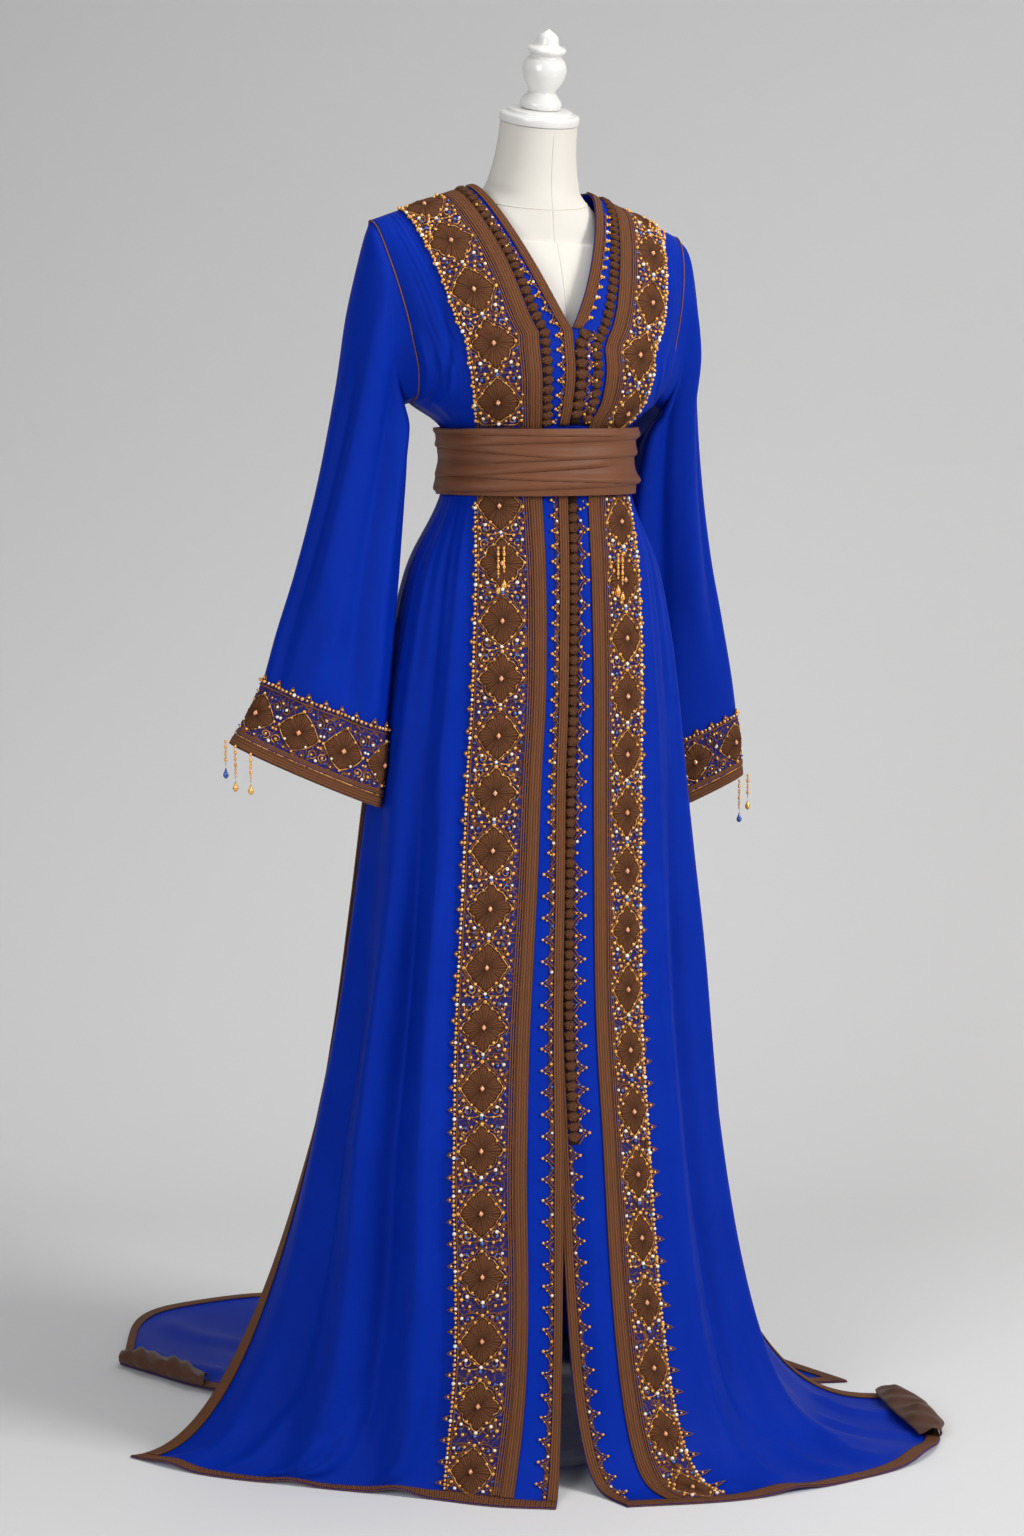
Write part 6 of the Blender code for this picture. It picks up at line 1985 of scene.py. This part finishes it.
# The paper's colour goes from light on the floor to dark up the wall: a painted shade of the light falling
# off.
BACKDROP_PAINTED_FALLOFF = paper.done(paper.mix(paper.spread(height, 0.0, 2.6), (0.72, 0.715, 0.71), (0.48, 0.48, 0.48)))
clear = paper.node("BsdfTransparent")[0]
behind = paper.node("NewGeometry")[6]
one_way = paper.node("MixShader", (), n0=behind, n1=Wire(paper, paper.shader.outputs[0]), n2=clear)[0]
paper.tree.links.new(one_way.socket, paper.tree.nodes["Material Output"].inputs["Surface"])
studio = bpy.data.objects.new("studio_sweep", sweep_mesh(14.0, -6.0, 2.6, 1.4, 6.0))
studio.data.materials.append(BACKDROP_PAINTED_FALLOFF)
studio.rotation_euler = (0, 0, math.radians(-22.0))
bpy.context.scene.collection.objects.link(studio)

# %% Light
def panel_light(name, place, target, size, power, colour=(1, 1, 1)):
    """A soft square light that faces a point."""
    data = bpy.data.lights.new(name, "AREA")
    data.shape, data.size, data.size_y, data.energy, data.color = "RECTANGLE", size[0], size[1], power, colour
    lamp = bpy.data.objects.new(name, data)
    lamp.location = place
    lamp.rotation_euler = (Vector(target) - Vector(place)).to_track_quat("-Z", "Y").to_euler()
    bpy.context.scene.collection.objects.link(lamp)
    return lamp


panel_light("key", (2.7, -3.7, 3.1), (0, 0, 0.9), (1.5, 1.9), 190, (1.0, 0.985, 0.965))
panel_light("fill", (-3.6, -2.9, 2.4), (0, 0, 0.9), (2.0, 2.4), 95, (0.97, 0.985, 1.0))
panel_light("top", (0.4, -0.6, 4.2), (0, 0.1, 0.6), (2.6, 2.6), 55)
world = bpy.data.worlds.new("studio world")
world.use_nodes = True
world.node_tree.nodes["Background"].inputs["Color"].default_value = (0.86, 0.88, 0.92, 1)
world.node_tree.nodes["Background"].inputs["Strength"].default_value = 0.17
bpy.context.scene.world = world
view = bpy.context.scene.view_settings
view.view_transform, view.look, view.exposure, view.gamma = "Standard", "None", 0.0, 1.0

# %% Camera
CAMERA_PLACE = Vector((-1.67815, -4.06754, 1.45))
CAMERA_RIGHT, CAMERA_UP = Vector((0.92718, -0.37461, 0)), Vector((0.04429, 0.10963, 0.99298))
CAMERA_AHEAD = Vector((0.37198, 0.92068, -0.11824))
lens = bpy.data.cameras.new("camera")
lens.lens, lens.sensor_width = 77.19, 36.0
camera = bpy.data.objects.new("camera", lens)
turned_to = Matrix((CAMERA_RIGHT, CAMERA_UP, -CAMERA_AHEAD)).transposed().to_4x4()
camera.matrix_world = Matrix.Translation(CAMERA_PLACE) @ turned_to
bpy.context.scene.collection.objects.link(camera)
bpy.context.scene.camera = camera

# %% Finish
print("triangles:", sum(len(p.data.loop_triangles) or len(p.data.polygons) * 2 for p in PIECES.values()))
